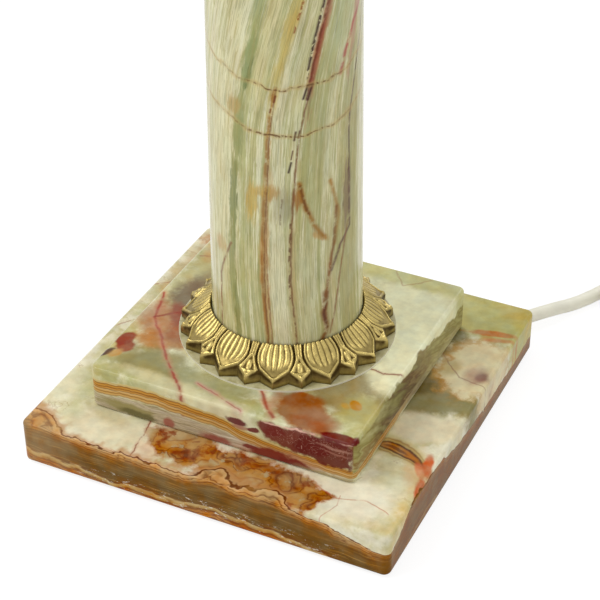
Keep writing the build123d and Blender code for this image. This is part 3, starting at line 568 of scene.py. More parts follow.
ground = lay_veins(flat_place, ground, breaks, [
    (SHORT_CRACK, 1.6, (206, 160, 128), 0.6),
    (SHORT_CRACK, 0.6, (140, 66, 44), 0.9),
    ([(60, 40), (76, 24), (92, 22)], 0.7, (150, 100, 80), 0.6),
    ([(48, -72), (60, -76), (72, -72), (84, -76)], 0.6, (196, 126, 90), 0.7),
    ([(57, -92), (62, -80), (60, -74)], 0.5, (196, 130, 96), 0.6),
    ([(-90, 30), (-60, 52), (-20, 60), (30, 92)], 0.9, (150, 76, 48), 0.7),
    ([(-90, -10), (-74, 12), (-66, 50), (-70, 92)], 0.7, (160, 92, 60), 0.6),
])
ground = mottle(place, ground, 0.1)

# How far back from the front edge the skin has run out; less than 0 where it is whole.
bare = profile(x, -40, 30, [
    (-90, 15), (-84, 11), (-77, 8.0), (-68, 2.5), (-50, 0.8), (-20, 0.6), (-4, 1.2), (2, 5.5),
    (7, 8.5), (12, 6.8), (18, 5.0), (25, 6.4), (32, 7.0), (38, 4.8), (44, 0.0), (52, -5.0),
    (62, -12.0), (75, -24), (84, -30), (90, -31),
])
ragged = noise(stretched(place, 1, 1, 0.2), 8.0, detail=2)
bare = wavering(bare, ragged, 3.0)
back = minus(bare, plus(y, FOOT_HALF_SIDE))
sunk = larger(times(back, 0.3), -10.0)
# Along the right edge the skin has its own thickness.
skin_side = profile(y, -24, 4, [
    (-90, -9), (-82, -8), (-75, -4), (-66, -1.2), (-50, -0.8), (-34, -1.6), (-22, -6),
    (0, -10), (24, -12), (43, -13), (70, -13.5), (90, -13),
])
skin_side = wavering(skin_side, ragged, 0.8)
side = spread(x, 80.0, 89.5)
sunk = add_node("ShaderNodeMix", {0: side, 2: sunk, 3: skin_side}).outputs[0]
depth = plus(minus(SKIN_LEVEL, z), sunk)
streaks = noise(stretched(wavy, 0.05, 0.05, 1.0), 1.6, detail=3, roughness=0.6)
long_waves = noise(stretched(place, 1, 1, 0), 26.0, detail=2)
depth = wavering(depth, streaks, 0.7)
low_depth = wavering(depth, long_waves, 1.4, within=0.2)
layers = bands(divided(depth, THIN_LAYERS), [
    (0.0, (200, 160, 110)), (0.03, (110, 60, 24)), (0.08, (118, 66, 26)), (0.11, (214, 170, 114)),
    (0.20, (206, 156, 94)), (0.27, (136, 80, 32)), (0.31, (200, 150, 84)), (0.42, (178, 120, 54)),
    (0.47, (122, 70, 24)), (0.54, (174, 118, 50)), (0.68, (148, 98, 34)), (1.0, (138, 94, 32)),
])
lower_layers = bands(divided(low_depth, ALL_LAYERS), [
    (0.0, (128, 86, 30)), (0.2, (118, 83, 28)), (0.30, (134, 97, 42)), (0.42, (110, 79, 24)),
    (0.56, (124, 85, 26)), (0.60, (120, 70, 20)), (0.635, (210, 176, 112)), (0.68, (184, 136, 64)),
    (0.71, (130, 66, 12)), (0.76, (192, 120, 38)), (0.79, (134, 62, 12)), (0.83, (204, 134, 44)),
    (0.87, (126, 54, 12)), (0.93, (192, 114, 34)),
])
layers = lay_over(layers, lower_layers, spread(depth, 3.6, 7.0))
laminae = noise(stretched(wavy, 0.02, 0.02, 1.0), 0.6, detail=3, roughness=0.65)
layers = lay_over(layers, (98, 52, 10), spread(laminae, 0.53, 0.66, 0.0, 0.5))
layers = lay_over(layers, (212, 156, 74), spread(laminae, 0.46, 0.34, 0.0, 0.4))
layers = lay_over(layers, (128, 82, 20), times(side, 0.7))
layers = lay_over(layers, (206, 168, 120), spread(x, -50, -84, 0.0, 0.3))
crystals = noise(stretched(place, 0.3, 0.3, 1.0), 1.1, detail=4, roughness=0.75)
crystal_share = stain_masks(wavy, fray, [
    ((-42, -90, 7), (20, 5, 3), 0, 0.4),
    ((3, -90, 8), (24, 5, 4), 0, 0.4),
    ((46, -90, 6), (20, 5, 4), 0, 0.4),
])
layers = lay_over(layers, (236, 226, 204), times(crystal_share, spread(crystals, 0.58, 0.64)))
layers = mottle(place, layers, 0.1)
# Iron has bled a little way from the layers into the cream skin.
bleed = times(spread(depth, -1.5, 0.0), spread(x, 60.0, 30.0))
ground = lay_over(ground, (190, 132, 74), times(bleed, 0.75))
shade = lay_over(ground, layers, spread(depth, 0.0, 0.3))
# The iron layers take less polish than the skin, and the right edge has been polished least.
gloss = smaller(spread(depth, 0.0, 0.3, 0.2, 0.08), spread(side, 0.0, 1.0, 0.2, 0.03))
polish(shader, place, shade, gloss)
finish(foot_onyx, "lower_plinth")

# ---- upper plate -----------------------------------------------------------------
# A smaller square of the same stone, paler and greener. Iron has stained it dark red
# along its cracks, and a stack of thin orange bands slants through its front edge.

STEP_FRONT = -65.7
STEP_RIGHT = 63.1
BANDS_HALF = 4.5
LONG_CRACK = [(-64, -1), (-59, -20), (-48, -33), (-37, -47), (-25, -60), (-18, -68)]
FRONT_CRACK = [(-17, -56), (-8.5, -58.5), (2, -62.5), (9, -65)]
MIDDLE_CRACK = [(6, -43), (10, -47), (18, -58), (23.5, -63)]
RIGHT_CRACK = [(44, -16), (48, -14), (54, -15), (62, -12)]
step_onyx, shader, place = new_material("onyx_step", **STONE)
x, y, z = coordinates(place)
wavy = warp(place, 24.0, 5.0, detail=3)
crinkled = warp(wavy, 4.0, 2.0, detail=5)
fray = fraying(place, 1.1)
ground = cloudy_onyx(place, (214, 208, 162), (184, 180, 120), (172, 154, 104), (232, 230, 194))
ground = lay_stains(wavy, fray, ground, [
    ((44, 20, 40), (30, 44, 40), 0, 0.3, (244, 243, 202), 0.97),
    ((30, 60, 40), (44, 7, 40), -4, 0.4, (200, 196, 128), 0.8),
    ((-52, 26, 40), (13, 32, 40), -6, 0.4, (192, 180, 126), 0.7),
    ((-58, 44, 40), (6, 12, 40), 0, 0.4, (196, 150, 84), 0.75),
    ((-49, 2, 40), (12, 16, 40), 12, 0.3, (122, 100, 74), 0.9),
    ((-44, 20, 40), (10, 9, 40), 0, 0.5, (150, 134, 92), 0.7),
    ((-56, -20, 40), (11, 13, 40), 20, 0.4, (178, 120, 76), 0.85),
    ((-47, -34, 40), (13, 9, 40), 20, 0.3, (180, 124, 62), 0.9),
    ((-42, -24, 40), (8, 10, 40), 0, 0.4, (166, 96, 56), 0.85),
    ((-43, -52, 40), (20, 11, 30), 6, 0.3, (146, 136, 84), 0.85),
    ((-64, -50, 40), (5, 18, 10), 0, 0.5, (192, 182, 116), 0.7),
    ((-10, -53, 40), (22, 9, 30), 4, 0.35, (160, 156, 104), 0.8),
    ((-30, -62, 44), (26, 4.5, 6), -4, 0.4, (216, 206, 158), 0.85),
    ((0, -64, 42), (14, 4, 6), 0, 0.4, (220, 208, 168), 0.85),
    ((46, -34, 40), (18, 17, 30), -20, 0.3, (146, 126, 74), 0.9),
    ((56, -46, 40), (9, 14, 30), 0, 0.4, (188, 178, 110), 0.75),
    ((58, -12, 40), (9, 16, 30), 0, 0.4, (238, 234, 192), 0.9),
    ((20, -44, 40), (10, 5, 30), 0, 0.4, (134, 116, 74), 0.7),
])
half_fray = times(fray, 0.55)
ground = lay_stains(crinkled, half_fray, ground, [
    ((33, -54, 40), (13.0, 11, 16), -30, 0.15, (158, 92, 34), 0.95),
    ((36, -50, 40), (7, 8, 16), 0, 0.3, (150, 84, 30), 0.8),
    ((43, -58, 40), (11, 7, 16), -14, 0.35, (166, 108, 72), 0.85),
    ((27, -48, 40), (6, 6, 12), 0, 0.3, (146, 78, 26), 0.9),
    ((20, -53, 40), (3, 12, 12), 12, 0.4, (170, 104, 62), 0.6),
    ((40, -61, 44), (10, 4.5, 6), -6, 0.35, (158, 98, 60), 0.85),
    ((-60, -46, 42), (5.0, 5.0, 8), 0, 0.2, (148, 66, 30), 0.95),
    ((-63, -41, 42), (4.0, 6.0, 8), -20, 0.2, (142, 60, 30), 0.95),
    ((-65.5, -53, 43), (2.2, 5.0, 5), -30, 0.2, (84, 44, 26), 0.95),
    ((-61, -52, 43), (2.6, 4.0, 6), -30, 0.4, (196, 142, 66), 0.8),
    ((52.5, -40.5, 44), (3.8, 2.4, 6), -56, 0.2, (194, 130, 16), 0.95),
    ((49.0, -42.5, 44), (2.4, 1.6, 6), -40, 0.5, (190, 146, 62), 0.7),
    ((55, -63.6, 44), (10, 3.0, 5), 4, 0.18, (112, 26, 20), 0.97),
    ((62.5, -62, 40), (2.2, 3.2, 8), 0, 0.3, (104, 26, 20), 0.95),
    ((-50, -14, 44), (4, 9, 6), 24, 0.35, (150, 66, 46), 0.75),
    ((-38, -8, 44), (5, 2, 6), 0, 0.4, (136, 64, 50), 0.7),
])
breaks = spread(noise(place, 4.5, detail=4), 0.28, 0.5, 0.25, 1.0)
flat_place = stretched(warp(place, 6.0, 2.6, detail=4), 1, 1, 0)
ground = lay_veins(flat_place, ground, breaks, [
    (LONG_CRACK, 3.0, (196, 140, 110), 0.6),
    (LONG_CRACK, 1.2, (166, 80, 60), 0.9),
    ([(-59, -20), (-50, -12), (-40, -6)], 1.2, (146, 58, 42), 0.85),
    (FRONT_CRACK, 2.4, (208, 158, 138), 0.75),
    (FRONT_CRACK, 0.6, (172, 96, 80), 0.75),
    (MIDDLE_CRACK, 3.0, (204, 140, 112), 0.6),
    (MIDDLE_CRACK, 1.4, (164, 74, 50), 0.9),
    (RIGHT_CRACK, 1.6, (176, 136, 100), 0.6),
    (RIGHT_CRACK, 0.6, (128, 62, 42), 0.9),
    ([(28, 62), (36, 52), (46, 62)], 0.8, (170, 120, 80), 0.5),
    ([(-64, 34), (-30, 44), (4, 66)], 0.9, (164, 84, 60), 0.7),
])
ground = mottle(place, ground, 0.11)

# The orange bands: high at the left end of the front edge and low at its right end.
middle = profile(x, 24, 40, [
    (-67, 35.8), (-50, 37.0), (-40, 37.8), (-29, 37.8), (-20, 37.5), (-12, 36.8),
    (4, 34.4), (12, 33.2), (29, 30.6), (37, 29.8), (54, 28.4), (67, 28.2),
])
ripple = noise(stretched(place, 1, 1, 0.3), 12.0, detail=4)
level = wavering(minus(z, middle), ripple, 0.9)
level = divided(level, spread(x, -20, 40, 0.95, 0.66))
lines = bands(divided(plus(level, BANDS_HALF), 2 * BANDS_HALF), [
    (0.0, (206, 186, 138)), (0.10, (160, 112, 56)), (0.13, (206, 170, 104)), (0.22, (208, 160, 84)),
    (0.27, (142, 90, 38)), (0.30, (206, 160, 84)), (0.40, (214, 180, 120)), (0.46, (150, 100, 44)),
    (0.49, (210, 160, 78)), (0.56, (192, 128, 42)), (0.60, (128, 76, 26)), (0.63, (208, 152, 64)),
    (0.72, (196, 136, 48)), (0.77, (134, 86, 36)), (0.80, (210, 178, 108)), (1.0, (212, 200, 142)),
])
fine = noise(stretched(wavy, 0.02, 0.02, 1.0), 0.5, detail=3, roughness=0.7)
lines = lay_over(lines, (120, 70, 30), spread(fine, 0.52, 0.68, 0.0, 0.55))
in_bands = spread(size_of(level), 3.4, 4.6, 1.0, 0.0)
front = spread(y, STEP_FRONT + 1.6, STEP_FRONT + 0.8)
corner = times(spread(x, STEP_RIGHT - 1.6, STEP_RIGHT - 0.8), spread(z, 29.8, 28.6))
corner = times(corner, spread(y, 10, -30, 0.2, 1.0))
rim = larger(front, corner)
# Below the orange bands the lower part of the front face is painted with grey streaks: a painted
# reflection of the lower plate in the polish, with painted shade.
below = times(spread(level, -4.0, -5.0), front)
grey_streaks = noise(stretched(wavy, 0.06, 0.06, 1.0), 1.6, detail=5, roughness=0.65)
painted_reflection_and_shade = bands(grey_streaks, [
    (0.34, (224, 214, 190)), (0.44, (198, 184, 156)), (0.5, (168, 152, 124)),
    (0.56, (204, 190, 156)), (0.66, (150, 134, 100)),
])
shade = lay_over(ground, painted_reflection_and_shade, below)
shade = lay_over(shade, lines, times(in_bands, rim))
shade = lay_stains(crinkled, fray, shade, [
    ((7.3, STEP_FRONT, 40.4), (5.2, 5, 1.9), 0, 0.2, (104, 38, 42), 0.95),
    ((9.0, STEP_FRONT, 37.6), (4.0, 5, 1.2), 0, 0.4, (160, 92, 72), 0.7),
    ((15.5, STEP_FRONT, 38.2), (3.0, 5, 1.4), 0, 0.2, (110, 40, 42), 0.95),
    ((24, STEP_FRONT, 41.4), (6.5, 3, 3.4), 0, 0.2, (116, 42, 42), 0.95),
    ((36, STEP_FRONT, 38.6), (15, 3, 6.6), 0, 0.14, (116, 42, 36), 0.95),
    ((50, STEP_FRONT, 37.6), (16, 3, 7.6), 0, 0.12, (104, 34, 30), 0.95),
    ((53, STEP_FRONT, 40.4), (8, 5, 0.7), -4, 0.5, (190, 140, 122), 0.55),
    ((55, STEP_FRONT, 38.0), (6, 5, 0.5), -4, 0.5, (180, 124, 106), 0.5),
    # Painted highlight: the next stain is a thin pale pink line along the front top arris, where
    # the light catches the rounded edge.
    ((33, -65.0, 44.3), (30, 0.9, 0.5), 0, 0.4, (236, 190, 168), 0.8),
    ((28, STEP_FRONT, 25.0), (22, 5, 5.0), 0, 0.5, (196, 140, 110), 0.75),
    ((24, STEP_FRONT, 25.8), (10, 5, 4.6), 0, 0.22, (130, 46, 32), 0.95),
    ((35, STEP_FRONT, 24.2), (10, 5, 3.4), 0, 0.25, (124, 44, 34), 0.95),
    ((14, STEP_FRONT, 27.2), (4, 5, 1.4), 0, 0.3, (124, 48, 40), 0.9),
    ((-2.5, STEP_FRONT, 25.4), (8.5, 5, 3.2), 0, 0.35, (148, 66, 54), 0.85),
    ((-27, STEP_FRONT, 26.6), (2.8, 5, 2.6), 0, 0.4, (164, 88, 72), 0.85),
    # The next two olive stains, low on the left of the front face, are painted shade and a painted
    # reflection of the lower plate.
    ((-48, STEP_FRONT, 28.6), (14, 5, 3.0), 0, 0.3, (150, 138, 84), 0.9),
    ((-43, STEP_FRONT, 26.8), (10, 5, 2.2), 0, 0.3, (104, 96, 56), 0.9),
    ((50, STEP_FRONT, 24.6), (14, 5, 1.6), 0, 0.5, (168, 154, 108), 0.8),
])
scratches = size_of(minus(noise(warp(place, 4.0, 4.0), 3.0, detail=2), 0.5))
burgundy = stain_mask(wavy, fray, (44, STEP_FRONT, 39), (20, 4, 5), 0, 0.3)
etched = times(spread(scratches, 0.0, 0.012, 0.6, 0.0), burgundy)
shade = lay_over(shade, (206, 160, 140), etched)
slant = {"Vector": warp(place, 12.0, 2.0), "Rotation": (radians(24), 0, 0)}
slanted = add_node("ShaderNodeMapping", slant)
edge_streaks = noise(stretched(slanted.outputs["Vector"], 0.2, 0.2, 1.0), 9.0, detail=4)
pale_streaks = bands(edge_streaks, [
    (0.34, (206, 200, 150)), (0.44, (170, 164, 102)), (0.50, (138, 126, 66)),
    (0.54, (176, 168, 106)), (0.60, (140, 108, 58)), (0.64, (188, 180, 126)),
])
brown_streaks = bands(edge_streaks, [
    (0.34, (150, 146, 84)), (0.42, (110, 96, 44)), (0.47, (88, 50, 20)), (0.51, (134, 112, 64)),
    (0.56, (96, 50, 22)), (0.61, (150, 138, 86)), (0.68, (104, 92, 44)),
])
browned = stain_mask(place, fray, (STEP_RIGHT, -14, 33), (20, 30, 14), 0, 0.5)
edge_tones = lay_over(pale_streaks, brown_streaks, browned)
edge_top = profile(y, 30, 48, [
    (-66, 46), (-55, 43.5), (-40, 45), (-20, 45.5), (5, 44.5), (20, 43), (32, 40.5),
    (45, 38.5), (66, 37),
])
under_top = wavering(minus(edge_top, z), ripple, 2.0)
right_edge = times(spread(x, STEP_RIGHT - 1.4, STEP_RIGHT - 0.6), spread(under_top, 0.0, 1.2))
right_edge = times(right_edge, minus(1.0, corner))
shade = lay_over(shade, edge_tones, times(right_edge, 0.92))
less_polished = spread(x, STEP_RIGHT - 1.4, STEP_RIGHT - 0.6, 0.2, 0.04)
polish(shader, place, shade, less_polished)
finish(step_onyx, "upper_plinth")

# ---- column ----------------------------------------------------------------------
# One turned shaft of onyx. Its layers run up the shaft as hundreds of fine stripes of
# cream, sage and ochre, cut by a few iron veins and two brown seams that lie across.

shaft_onyx, shader, place = new_material("onyx_shaft", **STONE)
z = coordinates(place)["Z"]
lean = profile(z, 0, 60, [
    (0, 7), (60, 3), (100, 0), (142, 2.7), (165, 5), (185, 9.5), (205, 17), (225, 26),
    (262, 40), (310, 50), (400, 57),
])
straight = turned(place, times(lean, radians(-1)))
# Arc length from the front meridian, and height: the shaft's skin laid out flat.
FRONT = radians(-64.3)
SHAFT_R = 33.5
ahead, beside, _ = coordinates(turned(straight, -FRONT))
angle = arithmetic("ARCTAN2", beside, ahead)
skin = add_node("ShaderNodeCombineXYZ", {"X": times(angle, SHAFT_R), "Y": z}).outputs["Vector"]
ripples = warp(straight, 5.0, 0.5, detail=4)
drawn = warp(stretched(ripples, 1.0, 1.0, 0.022), 16.0, 3.0, detail=2)
broad = noise(drawn, 8.0, detail=4, roughness=0.6)
fine = noise(moved(drawn, 40, 0, 9), 1.9, detail=4, roughness=0.7)
hair = noise(moved(drawn, 0, 60, 5), 0.55, detail=2, roughness=0.6)
shade = lay_over((220, 214, 168), (186, 184, 128), spread(broad, 0.38, 0.62))
shade = lay_over(shade, (232, 228, 192), spread(fine, 0.51, 0.58, 0.0, 0.85))
shade = lay_over(shade, (164, 164, 104), spread(fine, 0.47, 0.39, 0.0, 0.7))
side_skin = warp(warp(skin, 26.0, 2.4), 4.0, 1.4, detail=5)
fray = fraying(stretched(skin, 6.0, 0.8, 1), 2.2)
shade = lay_stains(side_skin, fray, shade, [
    # The next stain, a broad pale cream zone down the lit left side, is partly the stone's own
    # cream and partly painted light.
    ((-33, 165, 0), (7, 90, 9), 0, 0.5, (228, 222, 180), 0.75),
    ((-28, 70, 0), (5, 40, 9), 0, 0.5, (206, 196, 136), 0.6),
    ((-24, 226, 0), (2.8, 22, 9), 0, 0.5, (164, 172, 118), 0.85),
    ((-22.5, 196, 0), (3.0, 14, 9), 0, 0.3, (150, 160, 100), 0.9),
    ((-21.6, 190, 0), (1.3, 8, 9), 0, 0.3, (112, 124, 66), 0.9),
    ((-23.6, 164, 0), (2.6, 18, 9), 0, 0.4, (150, 156, 98), 0.85),
    ((-25, 132, 0), (2.2, 20, 9), 0, 0.3, (132, 138, 82), 0.9),
    ((-25.5, 98, 0), (2.0, 26, 9), 0, 0.4, (150, 154, 96), 0.85),
    ((-24.0, 68, 0), (1.4, 22, 9), 0, 0.4, (138, 140, 84), 0.85),
    ((-20.0, 120, 0), (1.2, 60, 9), 0, 0.5, (178, 178, 118), 0.7),
    ((-17, 205, 0), (3.4, 30, 9), 0, 0.5, (224, 216, 164), 0.7),
    ((-6.0, 160, 0), (2.8, 60, 9), 0, 0.5, (230, 225, 188), 0.75),
    ((-4.0, 92, 0), (4.0, 40, 9), 0, 0.5, (228, 222, 184), 0.75),
    ((0.5, 200, 0), (2.4, 50, 9), 0, 0.5, (216, 208, 156), 0.6),
    ((2.2, 90, 0), (1.7, 44, 9), 0, 0.5, (196, 176, 122), 0.8),
    ((-9.4, 102, 0), (2.0, 60, 9), 0, 0.4, (196, 158, 100), 0.8),
    ((12, 160, 0), (6, 50, 9), 0, 0.5, (184, 182, 130), 0.6),
    ((9, 84, 0), (4, 34, 9), 0, 0.5, (206, 204, 160), 0.6),
    ((20, 84, 0), (4, 40, 9), 0, 0.5, (186, 176, 120), 0.6),
    # The next stain, a broad darker sage zone down the shaded right side, is partly the stone's own
    # green and partly painted shade.
    ((30, 120, 0), (6, 90, 9), 0, 0.5, (180, 172, 118), 0.7),
    ((16, 222, 0), (7, 30, 9), 0, 0.5, (190, 194, 146), 0.7),
    ((-9.4, 216, 0), (2.6, 40, 9), 0, 0.5, (210, 188, 108), 0.9),
    ((5.6, 214, 0), (1.9, 36, 9), 0, 0.5, (186, 124, 92), 0.85),
    ((25, 214, 0), (1.8, 30, 9), 0, 0.5, (196, 140, 120), 0.7),
    ((-27, 174, 0), (4.0, 4, 9), -20, 0.5, (190, 156, 90), 0.75),
    ((-8, 137, 0), (3.6, 3.4, 9), 0, 0.5, (188, 138, 62), 0.85),
    ((-15.5, 131, 0), (2.4, 9, 9), 0, 0.5, (206, 170, 80), 0.85),
    ((-12.6, 137, 0), (3.6, 2.4, 9), 20, 0.5, (200, 162, 80), 0.75),
    ((-1, 131, 0), (4.6, 8, 9), 0, 0.6, (150, 144, 116), 0.55),
    ((3.8, 134, 0), (2.0, 5, 9), 0, 0.4, (160, 110, 50), 0.85),
    ((15, 114, 0), (4.0, 1.6, 9), -30, 0.5, (196, 148, 80), 0.8),
    ((28.6, 128, 0), (2.4, 16, 9), 0, 0.5, (128, 104, 88), 0.7),
    ((-33, 104, 0), (3.4, 4, 9), 30, 0.5, (196, 156, 96), 0.7),
])
shade = lay_over(shade, (170, 160, 100), spread(hair, 0.53, 0.6, 0.0, 0.5))
shade = lay_over(shade, (128, 124, 74), spread(hair, 0.45, 0.37, 0.0, 0.4))
wander = warp(skin, 6.0, 1.6, detail=5)
breaks = spread(noise(skin, 6.0, detail=5, roughness=0.65), 0.34, 0.52, 0.25, 1.0)
dashes = spread(noise(moved(skin, 30, 30, 0), 3.4, detail=3), 0.46, 0.52, 0.0, 1.0)
shade = lay_veins(wander, shade, breaks, [
    ([(-9.9, 186), (-10.0, 142), (-10.4, 100), (-9.8, 50)], 1.3, (160, 116, 56), 0.95),
    ([(-9.0, 186), (-9.2, 120), (-9.7, 50)], 0.7, (124, 80, 40), 0.85),
    ([(-8.6, 130), (-8.2, 96), (-7.8, 50)], 0.6, (146, 104, 64), 0.8),
    ([(6.4, 420), (5.6, 225), (5.3, 187)], 2.0, (150, 86, 62), 0.9),
    ([(5.8, 420), (5.0, 225), (4.8, 187), (4.2, 180)], 1.0, (108, 58, 30), 0.9),
    ([(5.0, 180), (3.0, 160), (2.2, 137), (2.0, 91), (2.8, 50)], 0.9, (126, 90, 56), 0.9),
    ([(19.6, 188), (21.0, 198), (23.6, 207), (27, 214), (30, 240)], 2.0, (178, 100, 86), 0.95),
    ([(4.3, 141), (6.6, 132), (11.4, 121), (16.8, 113)], 2.2, (160, 114, 44), 0.95),
    ([(4.6, 140), (6.8, 132), (9.2, 126)], 1.2, (112, 74, 32), 0.9),
    ([(18.6, 140), (24.0, 123), (22.0, 108)], 1.8, (172, 134, 70), 0.9),
    ([(22.6, 126), (22.0, 110), (19.4, 95), (17.3, 81), (16.0, 70)], 1.7, (136, 92, 46), 0.95),
    ([(17.3, 84), (15.4, 74), (16.8, 66), (14.4, 60), (9.0, 54)], 2.6, (128, 82, 36), 0.97),
    ([(17.0, 80), (15.6, 73), (16.6, 66)], 1.2, (92, 52, 26), 0.9),
    ([(33, 220), (31, 190), (28.4, 165), (29.6, 141)], 1.0, (104, 84, 66), 0.9),
    ([(29.6, 141), (31.4, 113), (25.4, 106), (20.4, 95)], 1.5, (110, 84, 70), 0.9),
    ([(30, 116), (26, 96), (22, 76), (18, 62)], 1.0, (142, 104, 66), 0.85),
    ([(-25.8, 107), (-30, 98), (-33.6, 88), (-35.4, 60)], 1.2, (140, 100, 66), 0.9),
    ([(-52, 400), (-60, 240), (-56, 120), (-62, 40)], 1.5, (166, 96, 60), 0.85),
    ([(58, 400), (66, 260), (60, 150), (70, 40)], 1.4, (158, 108, 66), 0.85),
    ([(84, 400), (80, 200), (90, 60)], 1.8, (182, 140, 82), 0.8),
    ([(-84, 380), (-78, 220), (-88, 50)], 1.2, (140, 84, 60), 0.8),
])
shade = lay_veins(wander, shade, dashes, [
    ([(3.2, 420), (2.9, 226), (2.7, 210), (2.9, 190)], 1.3, (62, 34, 28), 0.97),
    ([(-2.6, 134), (-2.8, 122)], 0.7, (110, 84, 60), 0.6),
    ([(1.6, 122), (1.2, 84)], 0.9, (110, 70, 40), 0.9),
    ([(-7, 210), (-6.4, 224)], 1.0, (150, 92, 48), 0.9),
])
shade = lay_veins(skin, shade, 1.0, [
    ([(3.9, 186.2), (3.0, 180.5)], 1.0, (58, 30, 26), 0.97),
    ([(5.9, 186.5), (5.0, 180.0)], 1.1, (74, 36, 28), 0.97),
    ([(1.6, 165.6), (1.2, 162.0)], 0.9, (84, 50, 28), 0.95),
    ([(3.2, 166.0), (2.8, 163.0)], 0.8, (96, 58, 30), 0.9),
    ([(0.9, 157.0), (0.4, 153.0)], 0.6, (96, 60, 40), 0.9),
    ([(0.5, 151.5), (-0.4, 147.0)], 0.9, (62, 36, 30), 0.95),
    ([(-8.7, 182), (-8.9, 179.5)], 0.9, (116, 66, 34), 0.9),
    ([(-9.9, 176.0), (-10.0, 174.6)], 0.8, (120, 70, 36), 0.9),
])
shade = mottle(stretched(straight, 1.5, 1.5, 0.5), shade, 0.08)
uneven = noise(place, 9.0, detail=2)
# The seams lie a little askew: both are level along one sloping plane.
SEAM_SLOPE = (0.213, -0.385, 1.0)
tilt = measure("DOT_PRODUCT", place, SEAM_SLOPE)
dotted = spread(noise(place, 1.6, detail=3), 0.42, 0.56, 0.2, 1.0)
near_front = spread(size_of(plus(angle, 0.06)), 0.9, 0.2, 0.35, 1.0)
for seam_level in (199.5, 178.5):
    off = size_of(wavering(minus(tilt, seam_level), uneven, 0.9, within=0.2))
    halo = times(spread(off, 0.4, 2.0, 0.4, 0.0), breaks)
    shade = lay_over(shade, (200, 168, 100), halo)
    line = times(spread(off, 0.2, 0.7, 0.9, 0.0), dotted)
    shade = lay_over(shade, (112, 78, 40), times(line, near_front))
polish(shader, place, shade)
finish(shaft_onyx, "column")

# ---- cap plate -------------------------------------------------------------------
# The square slab that closes the column's head, of the same green and cream onyx,
# with one band of ochre through its edge.

CAP_SKIN_LEVEL = 391.1
CAP_THICK = 14.0
cap_onyx, shader, place = new_material("onyx_cap", **STONE)
z = coordinates(place)["Z"]
wavy = warp(place, 24.0, 6.0)
ground = cloudy_onyx(place, (208, 202, 156), (174, 170, 112), (166, 148, 98), (222, 218, 182))
ground = lay_stains(warp(wavy, 4.0, 2.0, detail=5), fraying(place, 1.1), ground, [
    ((30, -34, 384), (15, 9, 20), -20, 0.3, (160, 98, 46), 0.9),
    ((-34, 22, 384), (12, 16, 20), 10, 0.35, (136, 126, 76), 0.85),
    ((40, 36, 384), (9, 9, 20), 0, 0.4, (206, 160, 92), 0.7),
])
breaks = spread(noise(place, 4.5, detail=4), 0.28, 0.5, 0.2, 1.0)
flat_place = stretched(warp(place, 7.0, 3.2, detail=3), 1, 1, 0)
ground = lay_veins(flat_place, ground, breaks, [
    ([(-48, -20), (-20, -30), (10, -48)], 1.0, (168, 76, 54), 0.85),
    ([(14, 48), (30, 20), (48, 4)], 0.9, (160, 84, 58), 0.8),
])
ground = mottle(place, ground, 0.14)
streaky = noise(stretched(wavy, 0.05, 0.05, 1.0), 2.4, detail=4, roughness=0.6)
level = wavering(minus(CAP_SKIN_LEVEL, z), streaky, 1.6, within=0.3)
layers = bands(divided(level, CAP_THICK), [
    (0.3, (206, 186, 136)), (0.4, (176, 122, 62)), (0.46, (132, 82, 42)), (0.54, (196, 150, 84)),
    (0.62, (150, 96, 48)), (0.7, (204, 184, 138)), (0.85, (160, 126, 80)), (1.0, (132, 92, 54)),
])
shade = lay_over(ground, layers, spread(level, 3.6, 5.2))
polish(shader, place, shade)
finish(cap_onyx, "cap_plate")

# ---- discs -----------------------------------------------------------------------
# Thin washers of clouded resin that bed each brass collar on its plate, so that the
# metal doesn't mark the polish. They take the stone's tint; only the rim shows pale.

RIM_R = 49.8
disc_resin, shader, place = new_material("pale_disc", Roughness=0.35)
x, y, _ = coordinates(place)
from_axis = measure("LENGTH", add_node("ShaderNodeCombineXYZ", {"X": x, "Y": y}).outputs["Vector"])
shade = lay_over((206, 200, 158), (176, 168, 120), spread(noise(place, 4.0), 0.4, 0.7))
shade = lay_over(shade, (236, 232, 216), spread(from_axis, RIM_R, RIM_R + 0.15, 0.0, 0.8))
fill(shader, {"Base Color": shade})
finish(disc_resin, "foot_disc", "head_disc")

# ---- leaf collars ----------------------------------------------------------------
# Sand-cast gilt brass left to darken: twelve broad lotus leaves with ribbed panels, and
# between them twelve narrow ones, each with a bead over its beak. The foot's collar
# hides the joint of shaft and plate; the head's is the same ring turned over.

COLLAR_RISE = 14.5
COLLAR_REACH = 14.9
COLLAR_EDGE = 3.2
LEAVES = 12
LEAF_TURN = -71.8
SLICE_TURNS, SLICE_ROWS, RIM_ROWS = 84, 44, 4
# Distances out from the bore: the rounded crest, and where the outline's notches lie.
CREST = 0.7
NOTCH = 10.6
# A slice's half angle, and half angles of the leaves' tips at the notches.
HALF_LEAF = radians(15)
LARGE_TIP, SMALL_TIP = radians(8.2), radians(6.8)
SMALL_SHORT = 0.4
GROUND = -1.15  # the cast ground between the leaves, under the plain slope
BORDER = 1.35
PANEL = 0.8
RIBS = 2.5

brass_group, given, result = new_group(
    "aged_brass",
    "ShaderNodeTree",
    {
        "Place": "Vector", "Recess": "Float", "Bright": "Color", "Dark": "Color",
        "Wear": "Float", "Grain": "Float",
    },
    {"Color": "Color", "Roughness": "Float", "Height": "Float"},
)
patches = noise(given["Place"], 5.0, detail=5, roughness=0.6)
specks = noise(given["Place"], 0.8, detail=4, roughness=0.6)
dirt = clamped(times(plus(given["Recess"], spread(patches, 0.3, 0.8, -0.12, 0.3)), given["Wear"]))
dull = lay_over(given["Bright"], given["Dark"], dirt)
fill(result, {
    "Color": lay_over(dull, given["Dark"], spread(specks, 0.62, 0.85, 0.0, 0.5)),
    "Roughness": plus(given["Grain"], times(dirt, 0.3)),
    "Height": arithmetic("MULTIPLY_ADD", patches, 0.6, specks),
})


